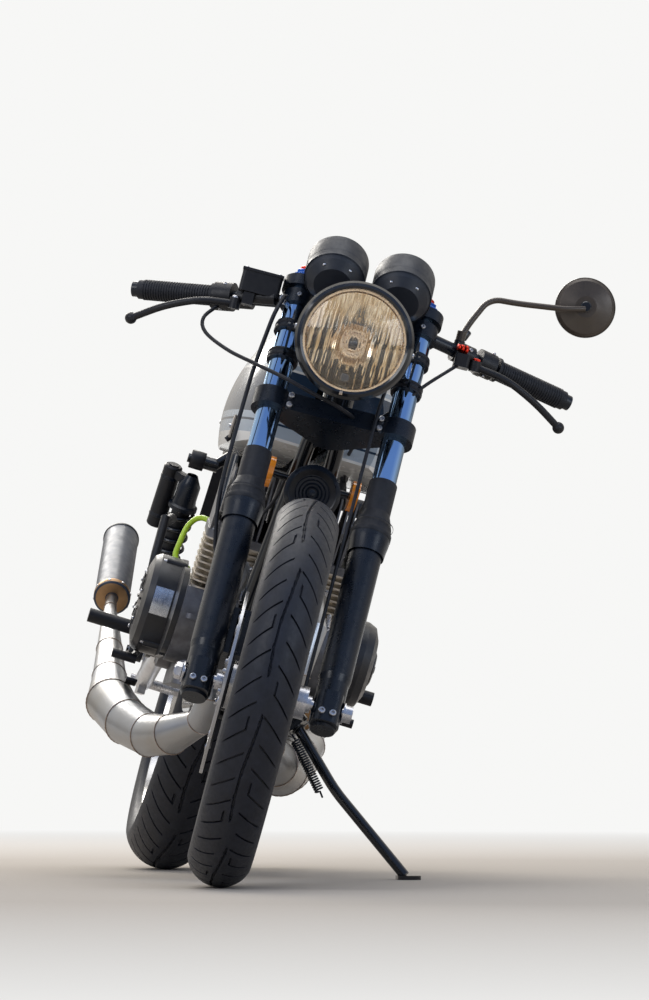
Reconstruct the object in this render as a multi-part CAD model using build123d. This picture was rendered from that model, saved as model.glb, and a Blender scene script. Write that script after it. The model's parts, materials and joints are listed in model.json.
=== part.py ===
from build123d import *
import math
import os
from collections import namedtuple

# Cafe racer motorcycle with an air-cooled two-stroke parallel twin.
# Built upright, +X forward, +Y to the rider's left, +Z up, x = 0 midway between the axles,
# then steered to its stop, leaned on the side stand and set down with its box's foot at z = 0.

# Driving dimensions, in millimetres and degrees
wheelbase = 1340.0
rake = 26.0
fork_offset = 45.0
rest_steer = -4.3
lean = 16.45
front_axle_z = 318.5
rear_axle_z = 319.5
seat_gap = 0.3
run_gap = 0.06
run_clearance = 0.5

Tyre = namedtuple("Tyre", "radius width crown rim_radius rim_width")
front_tyre_size = Tyre(radius=318.5, width=100.0, crown=54.0, rim_radius=229.0, rim_width=72.0)
rear_tyre_size = Tyre(radius=319.5, width=130.0, crown=72.0, rim_radius=229.0, rim_width=94.0)

rim_flange = 12.0
rim_wall = 5.0
rim_depth = 21.0
spoke_radius = 1.9
spoke_pairs = 18
front_axle_radius = 8.5
rear_axle_radius = 9.5

# Fork and steering head, measured along the fork from the front axle
leg_spacing = 211.0
stanchion_radius = 20.5
slider_radius = 27.0
slider_top = 322.0
slider_foot = -40.0
fork_length = 766.0
lower_clamp_at = 524.0
lower_clamp_height = 32.0
top_clamp_at = 752.0
top_clamp_height = 20.0
top_clamp_reach = 6.0
stem_radius = 14.0
head_tube_radius = 27.0
head_play = 5.0

# Engine
crank_x = 60.0
crank_z = 430.0
cylinder_tilt = 12.0
cylinder_spacing = 134.0
barrel_width = 130.0
barrel_depth = 124.0
barrel_base = 58.0
fin_pitch = 10.8
fin_thickness = 3.0
barrel_fins = 9
head_height = 128.0
head_fins = 10
case_half_width = 136.0
crankcase_radius = 86.0

# Drive and rear end
chain_y = 84.0
chain_pitch = 15.875
sprocket_thickness = 6.0
tooth_height = 1.5
roller_radius = 5.1
link_height = 14.0
link_waist = 9.6
link_thickness = 3.6
front_sprocket_x = -150.0
front_sprocket_z = 415.0
front_teeth = 15
rear_teeth = 38
pivot_x = -290.0
pivot_z = 400.0
arm_radius = 17.0
arm_y = 118.0
shock_y = 150.0

front_axle_x = wheelbase / 2
rear_axle_x = -wheelbase / 2
half_legs = leg_spacing / 2
rake_cos = math.cos(math.radians(rake))
rake_sin = math.sin(math.radians(rake))


def leg_x(z):
    """The fork legs' centre line at a height above the ground."""
    return front_axle_x - (z - front_axle_z) * rake_sin / rake_cos


fork_frame = Plane(
    origin=(front_axle_x, 0, front_axle_z),
    x_dir=(rake_cos, 0, rake_sin),
    z_dir=(-rake_sin, 0, rake_cos),
)
yoke = fork_frame.from_local_coords(Vector(0, 0, top_clamp_at))
cylinder_frame = Plane(
    origin=(crank_x, 0, crank_z),
    x_dir=(math.cos(math.radians(cylinder_tilt)), 0, -math.sin(math.radians(cylinder_tilt))),
    z_dir=(math.sin(math.radians(cylinder_tilt)), 0, math.cos(math.radians(cylinder_tilt))),
)


def both(shape):
    """A piece and its mirror image on the other side."""
    return [shape, mirror(shape, about=Plane.XZ)]


def rod(start, end, radius):
    """A round bar between two points."""
    axis = Vector(*end) - Vector(*start)
    plane = Plane(origin=start, z_dir=axis)
    return plane * Cylinder(radius, axis.length, align=(Align.CENTER, Align.CENTER, Align.MIN))


def tube_radii(points):
    """One bend radius for each corner, as large as its two runs allow."""
    corners = [Vector(*point) for point in points]
    radii = []
    for before, corner, after in zip(corners, corners[1:], corners[2:]):
        first = corner - before
        second = after - corner
        turn = math.radians(first.get_angle(second))
        radii.append(0.45 * min(first.length, second.length) / math.tan(turn / 2))
    return radii


def bent_tube(points, radius, bend=None):
    """A round bar along straight runs joined by tangent arcs."""
    largest = tube_radii(points)
    radii = [min(bend, most) for most in largest] if bend else largest
    path = FilletPolyline(*points, radius=radii)
    start = Plane(origin=path @ 0, z_dir=path % 0)
    return sweep(start * Circle(radius), path=path)


def ring(outer, inner, width):
    """A plain ring around the Y axis."""
    return Rot(X=90) * (Cylinder(outer, width) - Cylinder(inner, width))


def disc_y(radius, start, end):
    """A round along Y from one side to the other."""
    return Pos(0, (start + end) / 2, 0) * Rot(X=90) * Cylinder(radius, end - start)


def slab(points, low_y, high_y):
    """A flat plate cut to an (x, z) outline, from one side to the other."""
    face = make_face(Plane.XZ * Polyline(points, close=True))
    return Pos(0, (low_y + high_y) / 2, 0) * extrude(face, (high_y - low_y) / 2, both=True)


def revolved(outline):
    """Turns a closed outline of (radius, y) points around the Y axis."""
    face = make_face(Plane.YZ * Polyline([(y, r) for r, y in outline], close=True))
    return revolve(face, axis=Axis.Y)


def turned_z(outline):
    """Turns a closed outline of (radius, z) points around the Z axis."""
    face = make_face(Plane.XZ * Polyline(outline, close=True))
    return revolve(face, axis=Axis.Z)


def rounded_block(length, width, height, corner):
    block = Box(length, width, height)
    return fillet(block.edges().filter_by(Axis.Z), corner)


# Wheels, each built around the origin with its axle along Y

def tyre(size):
    shoulder = math.radians(60)
    edge_y = size.crown * math.sin(shoulder)
    edge_r = size.radius - size.crown + size.crown * math.cos(shoulder)
    bead = size.rim_width / 2 - seat_gap
    bead_r = size.rim_radius + seat_gap
    flange_r = size.rim_radius + rim_flange + 3
    bulge_r = (edge_r + flange_r) / 2
    half = size.width / 2
    line = Polyline((-bead, flange_r), (-bead, bead_r), (bead, bead_r), (bead, flange_r))
    left = ThreePointArc((bead, flange_r), (half, bulge_r), (edge_y, edge_r))
    crown = ThreePointArc((edge_y, edge_r), (0, size.radius), (-edge_y, edge_r))
    right = ThreePointArc((-edge_y, edge_r), (-half, bulge_r), (-bead, flange_r))
    return revolve(make_face(Plane.YZ * (line + left + crown + right)), axis=Axis.Y)


def rim(size):
    half = size.rim_width / 2
    lip = size.rim_radius + rim_flange
    well = size.rim_radius - rim_depth
    return revolved([
        (lip, -half - rim_wall), (lip, -half), (size.rim_radius, -half), (size.rim_radius, half),
        (lip, half), (lip, half + rim_wall), (size.rim_radius - 6, half + rim_wall),
        (well, 16), (well, -16), (size.rim_radius - 6, -half - rim_wall),
    ])


def spoke_set(size, flange_radius, flange_y):
    """Crossed spokes from the hub's flanges to the well of the rim."""
    well = size.rim_radius - rim_depth
    spokes = []
    step = 360 / spoke_pairs
    for index in range(spoke_pairs):
        for side in (-1, 1):
            swing = 26 if index % 2 else -26
            hub_angle = math.radians(index * step + side * step / 4)
            rim_angle = hub_angle + math.radians(swing)
            start = (flange_radius * math.cos(hub_angle), side * flange_y,
                     flange_radius * math.sin(hub_angle))
            end = (well * math.cos(rim_angle), side * 6, well * math.sin(rim_angle))
            spokes.append(rod(start, end, spoke_radius))
    return spokes


front_hub_flange = 58.0
front_hub_y = 30.0
rear_hub_flange = 88.0
rear_hub_y = 34.0


def front_hub():
    bore = front_axle_radius + run_gap
    barrel = revolved([
        (bore, -56), (40, -56), (40, -46), (30, -40), (front_hub_flange + 6, -front_hub_y - 3),
        (front_hub_flange + 6, -front_hub_y + 3), (28, -14), (28, 14),
        (front_hub_flange + 6, front_hub_y - 3), (front_hub_flange + 6, front_hub_y + 3),
        (34, 42), (34, 50), (bore, 50),
    ])
    return barrel


def rear_hub():
    bore = rear_axle_radius + run_gap
    return revolved([
        (bore, -52), (rear_hub_flange, -52), (rear_hub_flange + 6, -rear_hub_y - 3),
        (rear_hub_flange + 6, -rear_hub_y + 3), (72, -16), (40, -4), (40, 16),
        (rear_hub_flange - 22, rear_hub_y - 3), (rear_hub_flange + 6, rear_hub_y - 3),
        (rear_hub_flange + 6, rear_hub_y + 3), (48, rear_hub_y + 8),
        (48, chain_y - 8), (bore, chain_y - 8),
    ])


def wheel_core(size, hub, flange_radius, flange_y):
    core = hub + spoke_set(size, flange_radius, flange_y)
    return core + rim(size)


front_disc_y = -64.0
disc_radius = 149.0


def front_disc():
    rotor = Pos(0, front_disc_y, 0) * ring(disc_radius, 104, 5)
    carrier = Pos(0, front_disc_y + 2.5, 0) * ring(112, 30, 4)
    windows = [
        Pos(0, front_disc_y, 0) * Rot(Y=angle) * Pos(68, 0, 0) * Rot(X=90) * Cylinder(19, 30)
        for angle in range(0, 360, 60)
    ]
    hub_ring = ring(40, front_axle_radius + 1, 10)
    return rotor + (carrier - windows) + Pos(0, front_disc_y + 2.5, 0) * hub_ring


def sprocket_radius(teeth):
    return chain_pitch / (2 * math.sin(math.pi / teeth))


def sprocket(teeth, thickness, bore):
    pitch_radius = sprocket_radius(teeth)
    tip = pitch_radius + tooth_height
    root = pitch_radius - 5.5
    outline = []
    for index in range(teeth):
        middle = 360 / teeth * index
        for shift, radius in ((-0.32, root), (-0.1, tip), (0.1, tip), (0.32, root)):
            angle = math.radians(middle + shift * 360 / teeth)
            outline.append((radius * math.cos(angle), radius * math.sin(angle)))
    face = make_face(Plane.XZ * Polyline(outline, close=True))
    return extrude(face, thickness / 2, both=True) - disc_y(bore, -thickness, thickness)


# Front end

def place_on_leg(side, along):
    return fork_frame * Pos(0, side * half_legs, along)


def stanchions():
    length = fork_length - slider_top + 110
    return [
        place_on_leg(side, slider_top - 110)
        * Cylinder(stanchion_radius, length, align=(Align.CENTER, Align.CENTER, Align.MIN))
        for side in (-1, 1)
    ]


def slider(side):
    body = turned_z([
        (0, slider_foot), (20, slider_foot), (25, slider_foot + 10), (25, 44), (slider_radius, 56),
        (slider_radius, slider_top), (stanchion_radius + 0.1, slider_top),
        (stanchion_radius + 0.1, slider_top - 111), (0, slider_top - 111),
    ])
    lug = Pos(6, 0, -8) * rounded_block(50, 42, 56, 14)
    bore = disc_y(front_axle_radius + 0.05, -60, 60)
    return fork_frame * Pos(0, side * half_legs, 0) * (body + lug - bore)


def boot(side):
    inner = stanchion_radius + 0.1
    rings = [(inner, slider_top + 12), (slider_radius + 0.1, slider_top + 12)]
    rings += [(slider_radius + 0.1, slider_top - 16), (slider_radius + 5, slider_top - 14)]
    rings += [(slider_radius + 6, slider_top + 8), (slider_radius + 4, slider_top + 22)]
    rings += [(slider_radius + 1, slider_top + 32), (stanchion_radius + 3, slider_top + 46)]
    rings += [(stanchion_radius + 3, slider_top + 104), (inner, slider_top + 104)]
    return place_on_leg(side, 0) * turned_z(rings)


def clamp_plate(along, height, reach):
    """A yoke: two leg rings and a stem ring joined by a web."""
    web = [(-fork_offset - 24, -20), (-fork_offset - 24, 20), (-12, half_legs), (reach, half_legs),
           (reach, -half_legs), (-12, -half_legs)]
    plate = extrude(make_face(Polyline(web, close=True)), height)
    rings = [Pos(0, side * half_legs, 0) * Cylinder(31, height, align=(Align.CENTER,) * 2 + (Align.MIN,))
             for side in (-1, 1)]
    stem_ring = Pos(-fork_offset, 0, 0) * Cylinder(30, height, align=(Align.CENTER,) * 2 + (Align.MIN,))
    bores = [Pos(0, side * half_legs, 0) * Cylinder(stanchion_radius + 0.1, 4 * height) for side in (-1, 1)]
    return Pos(0, 0, along - height / 2) * (plate + rings + stem_ring) - [Pos(0, 0, along) * b for b in bores]


stem_low = lower_clamp_at - lower_clamp_height / 2
stem_high = top_clamp_at + top_clamp_height / 2


stem_nut_height = 12.0
stem_bore_radius = 9.0
stem_bore_depth = 28.0


def lower_clamp():
    """Yoke with the stem that turns in the head tube."""
    stem = Pos(-fork_offset, 0, stem_low) * Cylinder(
        stem_radius, top_clamp_at - top_clamp_height / 2 - stem_low,
        align=(Align.CENTER, Align.CENTER, Align.MIN))
    return fork_frame * (clamp_plate(lower_clamp_at, lower_clamp_height, 20) + stem)


def top_clamp():
    """Yoke whose stem nut is open above, where a holder on a plug fits."""
    nut = Pos(-fork_offset, 0, stem_high) * Cylinder(
        17, stem_nut_height, align=(Align.CENTER, Align.CENTER, Align.MIN))
    bore = Pos(-fork_offset, 0, stem_high + stem_nut_height - stem_bore_depth) * Cylinder(
        stem_bore_radius, stem_bore_depth + 1, align=(Align.CENTER, Align.CENTER, Align.MIN))
    return fork_frame * (clamp_plate(top_clamp_at, top_clamp_height, top_clamp_reach) + nut - bore)


def fork_caps():
    return [
        place_on_leg(side, fork_length)
        * turned_z([(0, 0), (19, 0), (19, 8), (15, 10), (15, 16), (8, 17), (8, 28), (0, 28)])
        for side in (-1, 1)
    ]


def front_axle():
    reach = half_legs + 28
    bar = disc_y(front_axle_radius, -reach, reach)
    spacers = [disc_y(14, 50.3, 78.2), disc_y(14, -78.2, -67), disc_y(27, 55, 71)]
    nut = disc_y(14, half_legs + slider_radius + seat_gap, reach + 12)
    return Pos(front_axle_x, 0, front_axle_z) * (bar + nut + spacers)


lamp_ahead = 164.7
lamp_below = 80.4
headlight_x = yoke.X + lamp_ahead
headlight_z = yoke.Z - lamp_below
lamp_bands = (610.0, 668.0)
headlight_radius = 97.5
glass_radius = 84.5


def along_x(outline):
    """Turns a closed outline of (x, radius) points around the X axis."""
    face = make_face(Plane.XZ * Polyline(outline, close=True))
    return revolve(face, axis=Axis.X)


def headlight_shell():
    outer = [(-88, 0), (-88, 34), (-76, 54), (-52, 72), (-20, 84), (8, 90), (10, headlight_radius - 3)]
    outer += [(15, headlight_radius), (26, headlight_radius), (33, headlight_radius - 4)]
    outer += [(36, headlight_radius - 9), (34, glass_radius), (24, glass_radius), (24, 80)]
    outer += [(-18, 78), (-50, 66), (-72, 48), (-82, 30), (-82, 0)]
    return Pos(headlight_x, 0, headlight_z) * along_x(outer)


def headlight_reflector():
    bowl = [(20, 79), (20, 75), (-10, 66), (-34, 48), (-46, 24), (-48, 0), (-56, 0), (-54, 28)]
    bowl += [(-40, 54), (-14, 73)]
    bulb = [(-50, 0), (-50, 9), (-12, 9), (-8, 6), (-8, 0)]
    return Pos(headlight_x, 0, headlight_z) * (along_x(bowl) + along_x(bulb))


def headlight_lens():
    rim_face = [(24.3, 0), (24.3, glass_radius - seat_gap), (30, glass_radius - seat_gap),
                (38, 62), (43, 36), (45, 0)]
    return Pos(headlight_x, 0, headlight_z) * along_x(rim_face)


def headlight_brackets():
    """Ears clamped to the stanchions, reaching forward to the shell's sides."""
    pieces = []
    for side in (-1, 1):
        bands = [place_on_leg(side, at) * (Cylinder(25.5, 16) - Cylinder(stanchion_radius + 0.1, 20))
                 for at in lamp_bands]
        ear = slab([
            (leg_x(headlight_z + 40) + 26, headlight_z + 40),
            (leg_x(headlight_z - 44) + 26, headlight_z - 44),
            (headlight_x - 14, headlight_z - 12), (headlight_x - 14, headlight_z + 12),
        ], side * half_legs - 2, side * half_legs + 2)
        links = [rod((leg_x(z), side * half_legs, z), (leg_x(z) + 34, side * half_legs, z), 4)
                 for z in (front_axle_z + at * rake_cos for at in lamp_bands)]
        cutter = place_on_leg(side, sum(lamp_bands) / 2) * Cylinder(stanchion_radius + 0.1, 200)
        bolt = rod((headlight_x - 22, side * (half_legs + 6), headlight_z),
                   (headlight_x - 22, side * 86, headlight_z), 7)
        pieces.append(bands[0] + bands[1] + ear + [link - cutter for link in links] + bolt)
    return pieces


gauge_radius = 50.5
gauge_tilt = 52.0
gauge_spacing = 113.0
gauge_depth = 45.0
dials_ahead = 71.3
dials_above = 33.5
gauge_x = yoke.X + dials_ahead
gauge_z = yoke.Z + dials_above


def gauge_place(side):
    return Pos(gauge_x, side * gauge_spacing / 2, gauge_z) * Rot(Y=-gauge_tilt)


def gauge(side):
    cup = turned_z([(0, -gauge_depth), (32, -gauge_depth), (45, 13 - gauge_depth), (gauge_radius - 0.5, -24),
                    (gauge_radius, -10), (gauge_radius, 30), (gauge_radius - 5, 32), (gauge_radius - 5, 27),
                    (0, 27)])
    return gauge_place(side) * cup


def gauge_bracket():
    """Plate under both cups, held by a foot on the front of the top yoke."""
    thickness = 4.0
    under = gauge_radius + seat_gap + thickness / 2
    plate = Pos(gauge_x, 0, gauge_z) * Rot(Y=-gauge_tilt) * Pos(-under, 0, 2.5) * Box(thickness, 146, 45)
    foot = fork_frame * Pos(top_clamp_reach + seat_gap, 0, top_clamp_at - 4) * Box(
        16, 60, 8, align=(Align.MIN, Align.CENTER, Align.CENTER))
    return plate + foot


bar_y_end = 377.0
bar_clamp_at = 723.0
bar_drop = 37.3
bar_sweep = 103.0
bar_radius = 11.0
grip_radius = 16.0
bar_z_root = front_axle_z + bar_clamp_at * rake_cos
bar_x_root = leg_x(bar_z_root)
bar_x_end = bar_x_root - bar_sweep
bar_z_end = bar_z_root - bar_drop


bar_thread_radius = 3.4
bar_thread_depth = 25.0


def bar_point(share):
    """A place along the right clip-on bar, from the clamp to the plug at its end."""
    return (bar_x_root + (bar_x_end - bar_x_root) * share,
            -(half_legs + (bar_y_end - half_legs) * share),
            bar_z_root + (bar_z_end - bar_z_root) * share)


def at_bars(ahead, y, above):
    """A place measured from where the bars are clamped."""
    return (bar_x_root + ahead, y, bar_z_root + above)


bar_length = (Vector(*bar_point(1.0)) - Vector(*bar_point(0.0))).length


def clip_on():
    clamp = place_on_leg(-1, bar_clamp_at) * (Cylinder(27, 26) - Cylinder(stanchion_radius + 0.1, 40))
    bar = rod(bar_point(0.0), bar_point(0.985), bar_radius)
    cutter = place_on_leg(-1, bar_clamp_at) * Cylinder(stanchion_radius + 0.1, 120)
    plug = rod(bar_point(0.965), bar_point(1.0), 13)
    thread = rod(bar_point(1.0 - bar_thread_depth / bar_length), bar_point(1.05), bar_thread_radius)
    return clamp + (bar - cutter) + plug - thread


def grip():
    tube = rod(bar_point(0.50), bar_point(0.962), grip_radius)
    tube += rod(bar_point(0.50), bar_point(0.515), grip_radius + 5)
    return tube - rod(bar_point(0.4), bar_point(1.1), bar_radius + 0.05)


def perch_block(start, end, radius):
    """A housing clamped round the bar between two places along it."""
    return rod(bar_point(start), bar_point(end), radius) - rod(
        bar_point(start - 0.1), bar_point(end + 0.1), bar_radius + 0.05)


def master_cylinder():
    near = Vector(*bar_point(0.20))
    body = rod((near.X + 36, -142, near.Z + 3), (near.X + 18, -194, near.Z - 4), 11)
    tank = Pos(near.X + 24, -172, near.Z + 20) * rounded_block(40, 68, 34, 6)
    clamp = perch_block(0.27, 0.35, 18)
    link = Pos(near.X + 12, -186.7, near.Z - 8) * Box(56, 18, 20)
    return (body + tank + (clamp + link)) - rod(bar_point(0.0), bar_point(1.0), bar_radius + 0.05)


def switchgear():
    """Twistgrip housing on the right bar, switch block on the left one."""
    return [perch_block(0.385, 0.495, 24), mirror(perch_block(0.38, 0.48, 22), about=Plane.XZ)]


def lever(end_drop):
    """Blade ahead of the grip with a round end."""
    points = [at_bars(1, -206, -28), at_bars(5, -262, -36), at_bars(-7, -318, -60),
              at_bars(-35, -367, -end_drop)]
    blade = bent_tube(points, 6.0)
    ball = Pos(*points[-1]) * Sphere(10)
    boss = rod(at_bars(1, -206, -19), at_bars(1, -206, -37), 10)
    return blade + ball + boss


mirror_seat = at_bars(-26, 172, 9.7)
mirror_boss_height = 16.0
mirror_center = at_bars(-73, 363, 124)
mirror_radius = 50.5


def clutch_perch():
    clamp = mirror(perch_block(0.22, 0.34, 18), about=Plane.XZ)
    arm = Pos(*at_bars(-10, 182.7, -24.3)) * rounded_block(50, 26, 22, 6)
    bar = mirror(rod(bar_point(0.0), bar_point(1.0), bar_radius + 0.05), about=Plane.XZ)
    boss = Pos(*mirror_seat) * Cylinder(9, mirror_boss_height, align=(Align.CENTER, Align.CENTER, Align.MAX))
    return clamp + arm + boss - bar


def rear_view_mirror():
    shell = turned_z([(0, 0), (18, 0), (mirror_radius - 6, 8), (mirror_radius, 14), (mirror_radius, 20),
                      (mirror_radius - 4, 20), (mirror_radius - 4, 17), (0, 17)])
    foot = Pos(*mirror_seat) * Pos(0, 0, seat_gap) * Cylinder(
        8, mirror_boss_height, align=(Align.CENTER, Align.CENTER, Align.MIN))
    points = [at_bars(-26, 172, 16), at_bars(-35, 180, 42), at_bars(-53, 203, 94), at_bars(-57, 250, 98),
              at_bars(-61, 330, 110), at_bars(-71, 362, 120)]
    return Pos(*mirror_center) * Rot(Y=-90) * shell + bent_tube(points, 5.0) + foot


def caliper():
    body = fork_frame * Pos(-62, front_disc_y, 112) * rounded_block(62, 64, 84, 14)
    lugs = [fork_frame * Pos(-32, front_disc_y - 24, along) * Box(14, 16, 16) for along in (84, 140)]
    lugs += [fork_frame * Pos(-64, 0, 112) * disc_y(26, front_disc_y - 38, front_disc_y + 36)]
    leg = fork_frame * Pos(0, -half_legs, 110) * Cylinder(slider_radius + 0.1, 200)
    slot = Pos(front_axle_x, front_disc_y, front_axle_z) * disc_y(disc_radius + 4, -5.5, 5.5)
    return body + lugs - slot - leg


def brake_hose():
    """From the master cylinder down outside the right leg to the caliper behind it."""
    points = [(18, -131, 712), (46, -128, 704), (52, -138, 660), (34, -148, 560), (20, -150, 440),
              (-10, -150, 330), (-50, -130, 240), (-66, -86, 190), (-64, -74, 155.4)]
    return fork_frame * bent_tube(points, 3.5)


def speedo_cable():
    """From the drive beside the front hub up between the legs to the left dial."""
    up_the_fork = [(2, 63, 27.5), (14, 64, 200), (26, 66, 430), (30, 68, 560), (50, 78, 640)]
    points = [tuple(fork_frame.from_local_coords(Vector(*point))) for point in up_the_fork]
    behind_dial = gauge_place(1) * Pos(-19, 7.5, 0)
    points += [tuple((behind_dial * Pos(0, 0, -gauge_depth - drop)).position) for drop in (26, 1)]
    return bent_tube(points, 3.0)


# Frame and rear end

head_low = lower_clamp_at + lower_clamp_height / 2 + head_play
head_high = top_clamp_at - top_clamp_height / 2 - head_play


def head_tube():
    length = head_high - head_low
    shell = Pos(-fork_offset, 0, head_low) * Cylinder(
        head_tube_radius, length, align=(Align.CENTER, Align.CENTER, Align.MIN))
    bore = Pos(-fork_offset, 0, head_low - 1) * Cylinder(
        stem_radius + run_gap, length + 2, align=(Align.CENTER, Align.CENTER, Align.MIN))
    return fork_frame * shell, fork_frame * bore


def head_point(along):
    plane = fork_frame.from_local_coords(Vector(-fork_offset, 0, along))
    return (plane.X, plane.Y, plane.Z)


backbone_radius = 19.0
cradle_radius = 13.0
cradle_z = 285.0
rail_radius = 12.5
tail_bar = (-735.0, 776.0)
tail_bar_radius = 9.0
spine_end = (-200.0, 0.0, 752.0)
neck = head_point(head_low + 90)
chin = head_point(head_low + 48)
cradle_front = ((chin[0] - 31.6, 24.0, chin[2] - 81.8), (190.0, 45.0, 330.0))
tank_rest_shares = (0.30, 0.85)
tank_rest_length = 24.0


def tank_rests(start, end):
    """Collars round the backbone that fill the tank's tunnel."""
    along = (end - start).normalized() * tank_rest_length / 2
    places = [start + (end - start) * share for share in tank_rest_shares]
    return [rod(tuple(place - along), tuple(place + along), tank_tunnel - seat_gap) for place in places]


def frame():
    shell, bore = head_tube()
    backbone = rod((neck[0], 0, neck[2]), spine_end, backbone_radius)
    tie = rod((chin[0], 0, chin[2]), (110, 0, 818), 11)
    high, low = [(x, -y, z) for x, y, z in cradle_front]
    cradle = bent_tube([(chin[0], -12, chin[2]), high, low, (130, -55, cradle_z),
                        (-190, -55, cradle_z), (-238, -58, 330), (-256, -60, 474), (-276, -90, 600),
                        (-290, -92, 758)],
                       cradle_radius, bend=60)
    rail = bent_tube([(-190, -8, 756), (-330, -92, 758), (-560, -92, 758), (-740, -80, 776)],
                     rail_radius, bend=80)
    brace = bent_tube([(-257, -66, 480), (-360, -92, 600), (-470, -92, 760)], 10, bend=60)
    cross = [rod((x, -y, z), (x, y, z), tail_bar_radius)
             for x, y, z in ((-330, 92, 758), (tail_bar[0], 80, tail_bar[1]))]
    cross += [rod((-200, -54, 290), (-200, 54, 290), 9), rod((145, -52, 296), (145, 52, 296), 9)]
    plate = slab([(-254, 350), (-254, 452), (-300, 470), (-322, 430), (-322, 372), (-300, 345)], -130, -122)
    plate_links = [rod((-243, -58, z), (-266, -126, z), 7) for z in (363, 427)]
    shock_lug = rod((-450, -92, 750), (-450, -118, 722), 9)
    shock_lug += shock_stud(shock_top, 112)
    pieces = [backbone, tie] + tank_rests(Vector(*neck), Vector(*spine_end)) + front_brackets()
    for part in (cradle, rail, brace, plate, *plate_links, shock_lug):
        pieces += both(part)
    pivot_bolt = rod((pivot_x, -131, pivot_z), (pivot_x, 131, pivot_z), 8)
    return (shell + pieces + cross + pivot_bolt + stand_bracket()) - bore


def swingarm():
    """Tubular arm with axle plates, chain adjusters and the foot studs of the shocks."""
    pivot = rod((pivot_x, -120, pivot_z), (pivot_x, 120, pivot_z), 20)
    arm = bent_tube([(pivot_x, -97, pivot_z), (pivot_x - 60, -99, pivot_z - 12),
                     (pivot_x - 120, -arm_y, pivot_z - 25),
                     (rear_axle_x + 8, -arm_y, rear_axle_z + 1)], arm_radius, bend=120)
    end = Pos(rear_axle_x - 4, -arm_y, rear_axle_z) * Box(90, 14, 46)
    lug = Pos(shock_foot[0], -arm_y - 8, shock_foot[1] - 10) * Box(30, 14, 40) + shock_stud(shock_foot, arm_y)
    end += rod((rear_axle_x - 48, -arm_y, rear_axle_z), (rear_axle_x - 66, -arm_y, rear_axle_z), 4)
    end += rod((rear_axle_x - 52, -arm_y, rear_axle_z), (rear_axle_x - 58, -arm_y, rear_axle_z), 8)
    pieces = both(arm) + both(end) + both(lug)
    bores = [rod((pivot_x, -150, pivot_z), (pivot_x, 150, pivot_z), 8.06),
             rod((rear_axle_x, -200, rear_axle_z), (rear_axle_x, 200, rear_axle_z),
                 rear_axle_radius + 0.05)]
    return pivot + pieces - bores


shock_top = (-450.0, 722.0)
shock_foot = (rear_axle_x + 70, rear_axle_z + 46.5)
shock_eye_half = 13.0
shock_stud_radius = 8.0
coil_radius = 27.0
reservoir_radius = 17.0
reservoir_reach = coil_radius + reservoir_radius + 3
reservoir_angle = 130.0


def shock_stud(place, root_y):
    """Shouldered stud that carries one eye of the right unit."""
    x, z = place
    shoulder = shock_y - shock_eye_half - seat_gap
    return rod((x, -root_y, z), (x, -shoulder, z), 12) + rod(
        (x, -root_y, z), (x, -shock_y - shock_eye_half - 4, z), shock_stud_radius)


def shock(side):
    y = side * shock_y
    top = Vector(shock_top[0], y, shock_top[1])
    foot = Vector(shock_foot[0], y, shock_foot[1])
    length = (top - foot).length
    body = turned_z([(0, 10), (12, 10), (12, 40), (22, 44), (22, 70), (19, 72), (19, length - 96),
                     (21, length - 94), (21, length - 30), (12, length - 20), (12, length - 10),
                     (0, length - 10)])
    coil = [Pos(0, 0, 84 + 17 * i) * (Cylinder(coil_radius, 8) - Cylinder(18, 10)) for i in range(12)]
    beside = Rot(Z=side * reservoir_angle)
    reservoir = beside * Pos(reservoir_reach, 0, length - 92) * Cylinder(reservoir_radius, 120)
    bridge = beside * Pos(reservoir_reach / 2, 0, length - 44) * Box(reservoir_reach, 18, 18)
    plane = Plane(origin=foot, x_dir=(1, 0, 0), z_dir=top - foot)
    eyes = [rod((p.X, y - shock_eye_half, p.Z), (p.X, y + shock_eye_half, p.Z), 17) for p in (top, foot)]
    bores = [rod((p.X, y - 20, p.Z), (p.X, y + 20, p.Z), shock_stud_radius + 0.1) for p in (top, foot)]
    return (plane * (body + coil + reservoir + bridge)) + eyes - bores


# Engine

def engine_cases():
    crank = Pos(crank_x, 0, crank_z) * disc_y(crankcase_radius, -case_half_width, case_half_width)
    gearbox = Pos(-130, -26, 420) * disc_y(84, -case_half_width + 26, case_half_width - 26)
    sump = Pos(-30, -14, 352) * rounded_block(260, 200, 84, 20)
    deck = Pos(-40, -14, 425) * Box(200, 200, 90)
    chain_room = Pos(-175, 102, 420) * Box(210, 60, 260)
    foot_low = cradle_z + cradle_radius + seat_gap
    feet = [Pos(x, y, foot_low) * Box(36, 24, 30, align=(Align.CENTER, Align.CENTER, Align.MIN))
            for x in (-130, 58) for y in (-55, 55)]
    mouth = cylinder_frame * Pos(0, 0, barrel_base - 16) * Box(118, 236, 32)
    above = cylinder_frame * Pos(0, 0, barrel_base) * Box(
        240, 400, 90, align=(Align.CENTER, Align.CENTER, Align.MIN))
    seam = Pos(-36, -14, 424) * rounded_block(372, 228, 9, 12)
    return (crank + gearbox + sump + deck + seam - chain_room) + mouth + feet - above


def barrel(side):
    body = Cylinder(46, fin_pitch * (barrel_fins - 1) + fin_thickness,
                    align=(Align.CENTER, Align.CENTER, Align.MIN))
    fins = [Pos(0, 0, fin_pitch * index + fin_thickness / 2)
            * rounded_block(barrel_depth, barrel_width, fin_thickness, 16)
            for index in range(barrel_fins)]
    port = Pos(port_reach - 12, 0, port_height) * Rot(Y=90) * Cylinder(25, 24)
    intake = Pos(-60, 0, 50) * Box(20, 60, 50)
    return cylinder_frame * Pos(0, side * cylinder_spacing / 2, barrel_base) * (body + fins + port + intake)


barrel_top = barrel_base + fin_pitch * (barrel_fins - 1) + fin_thickness


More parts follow.
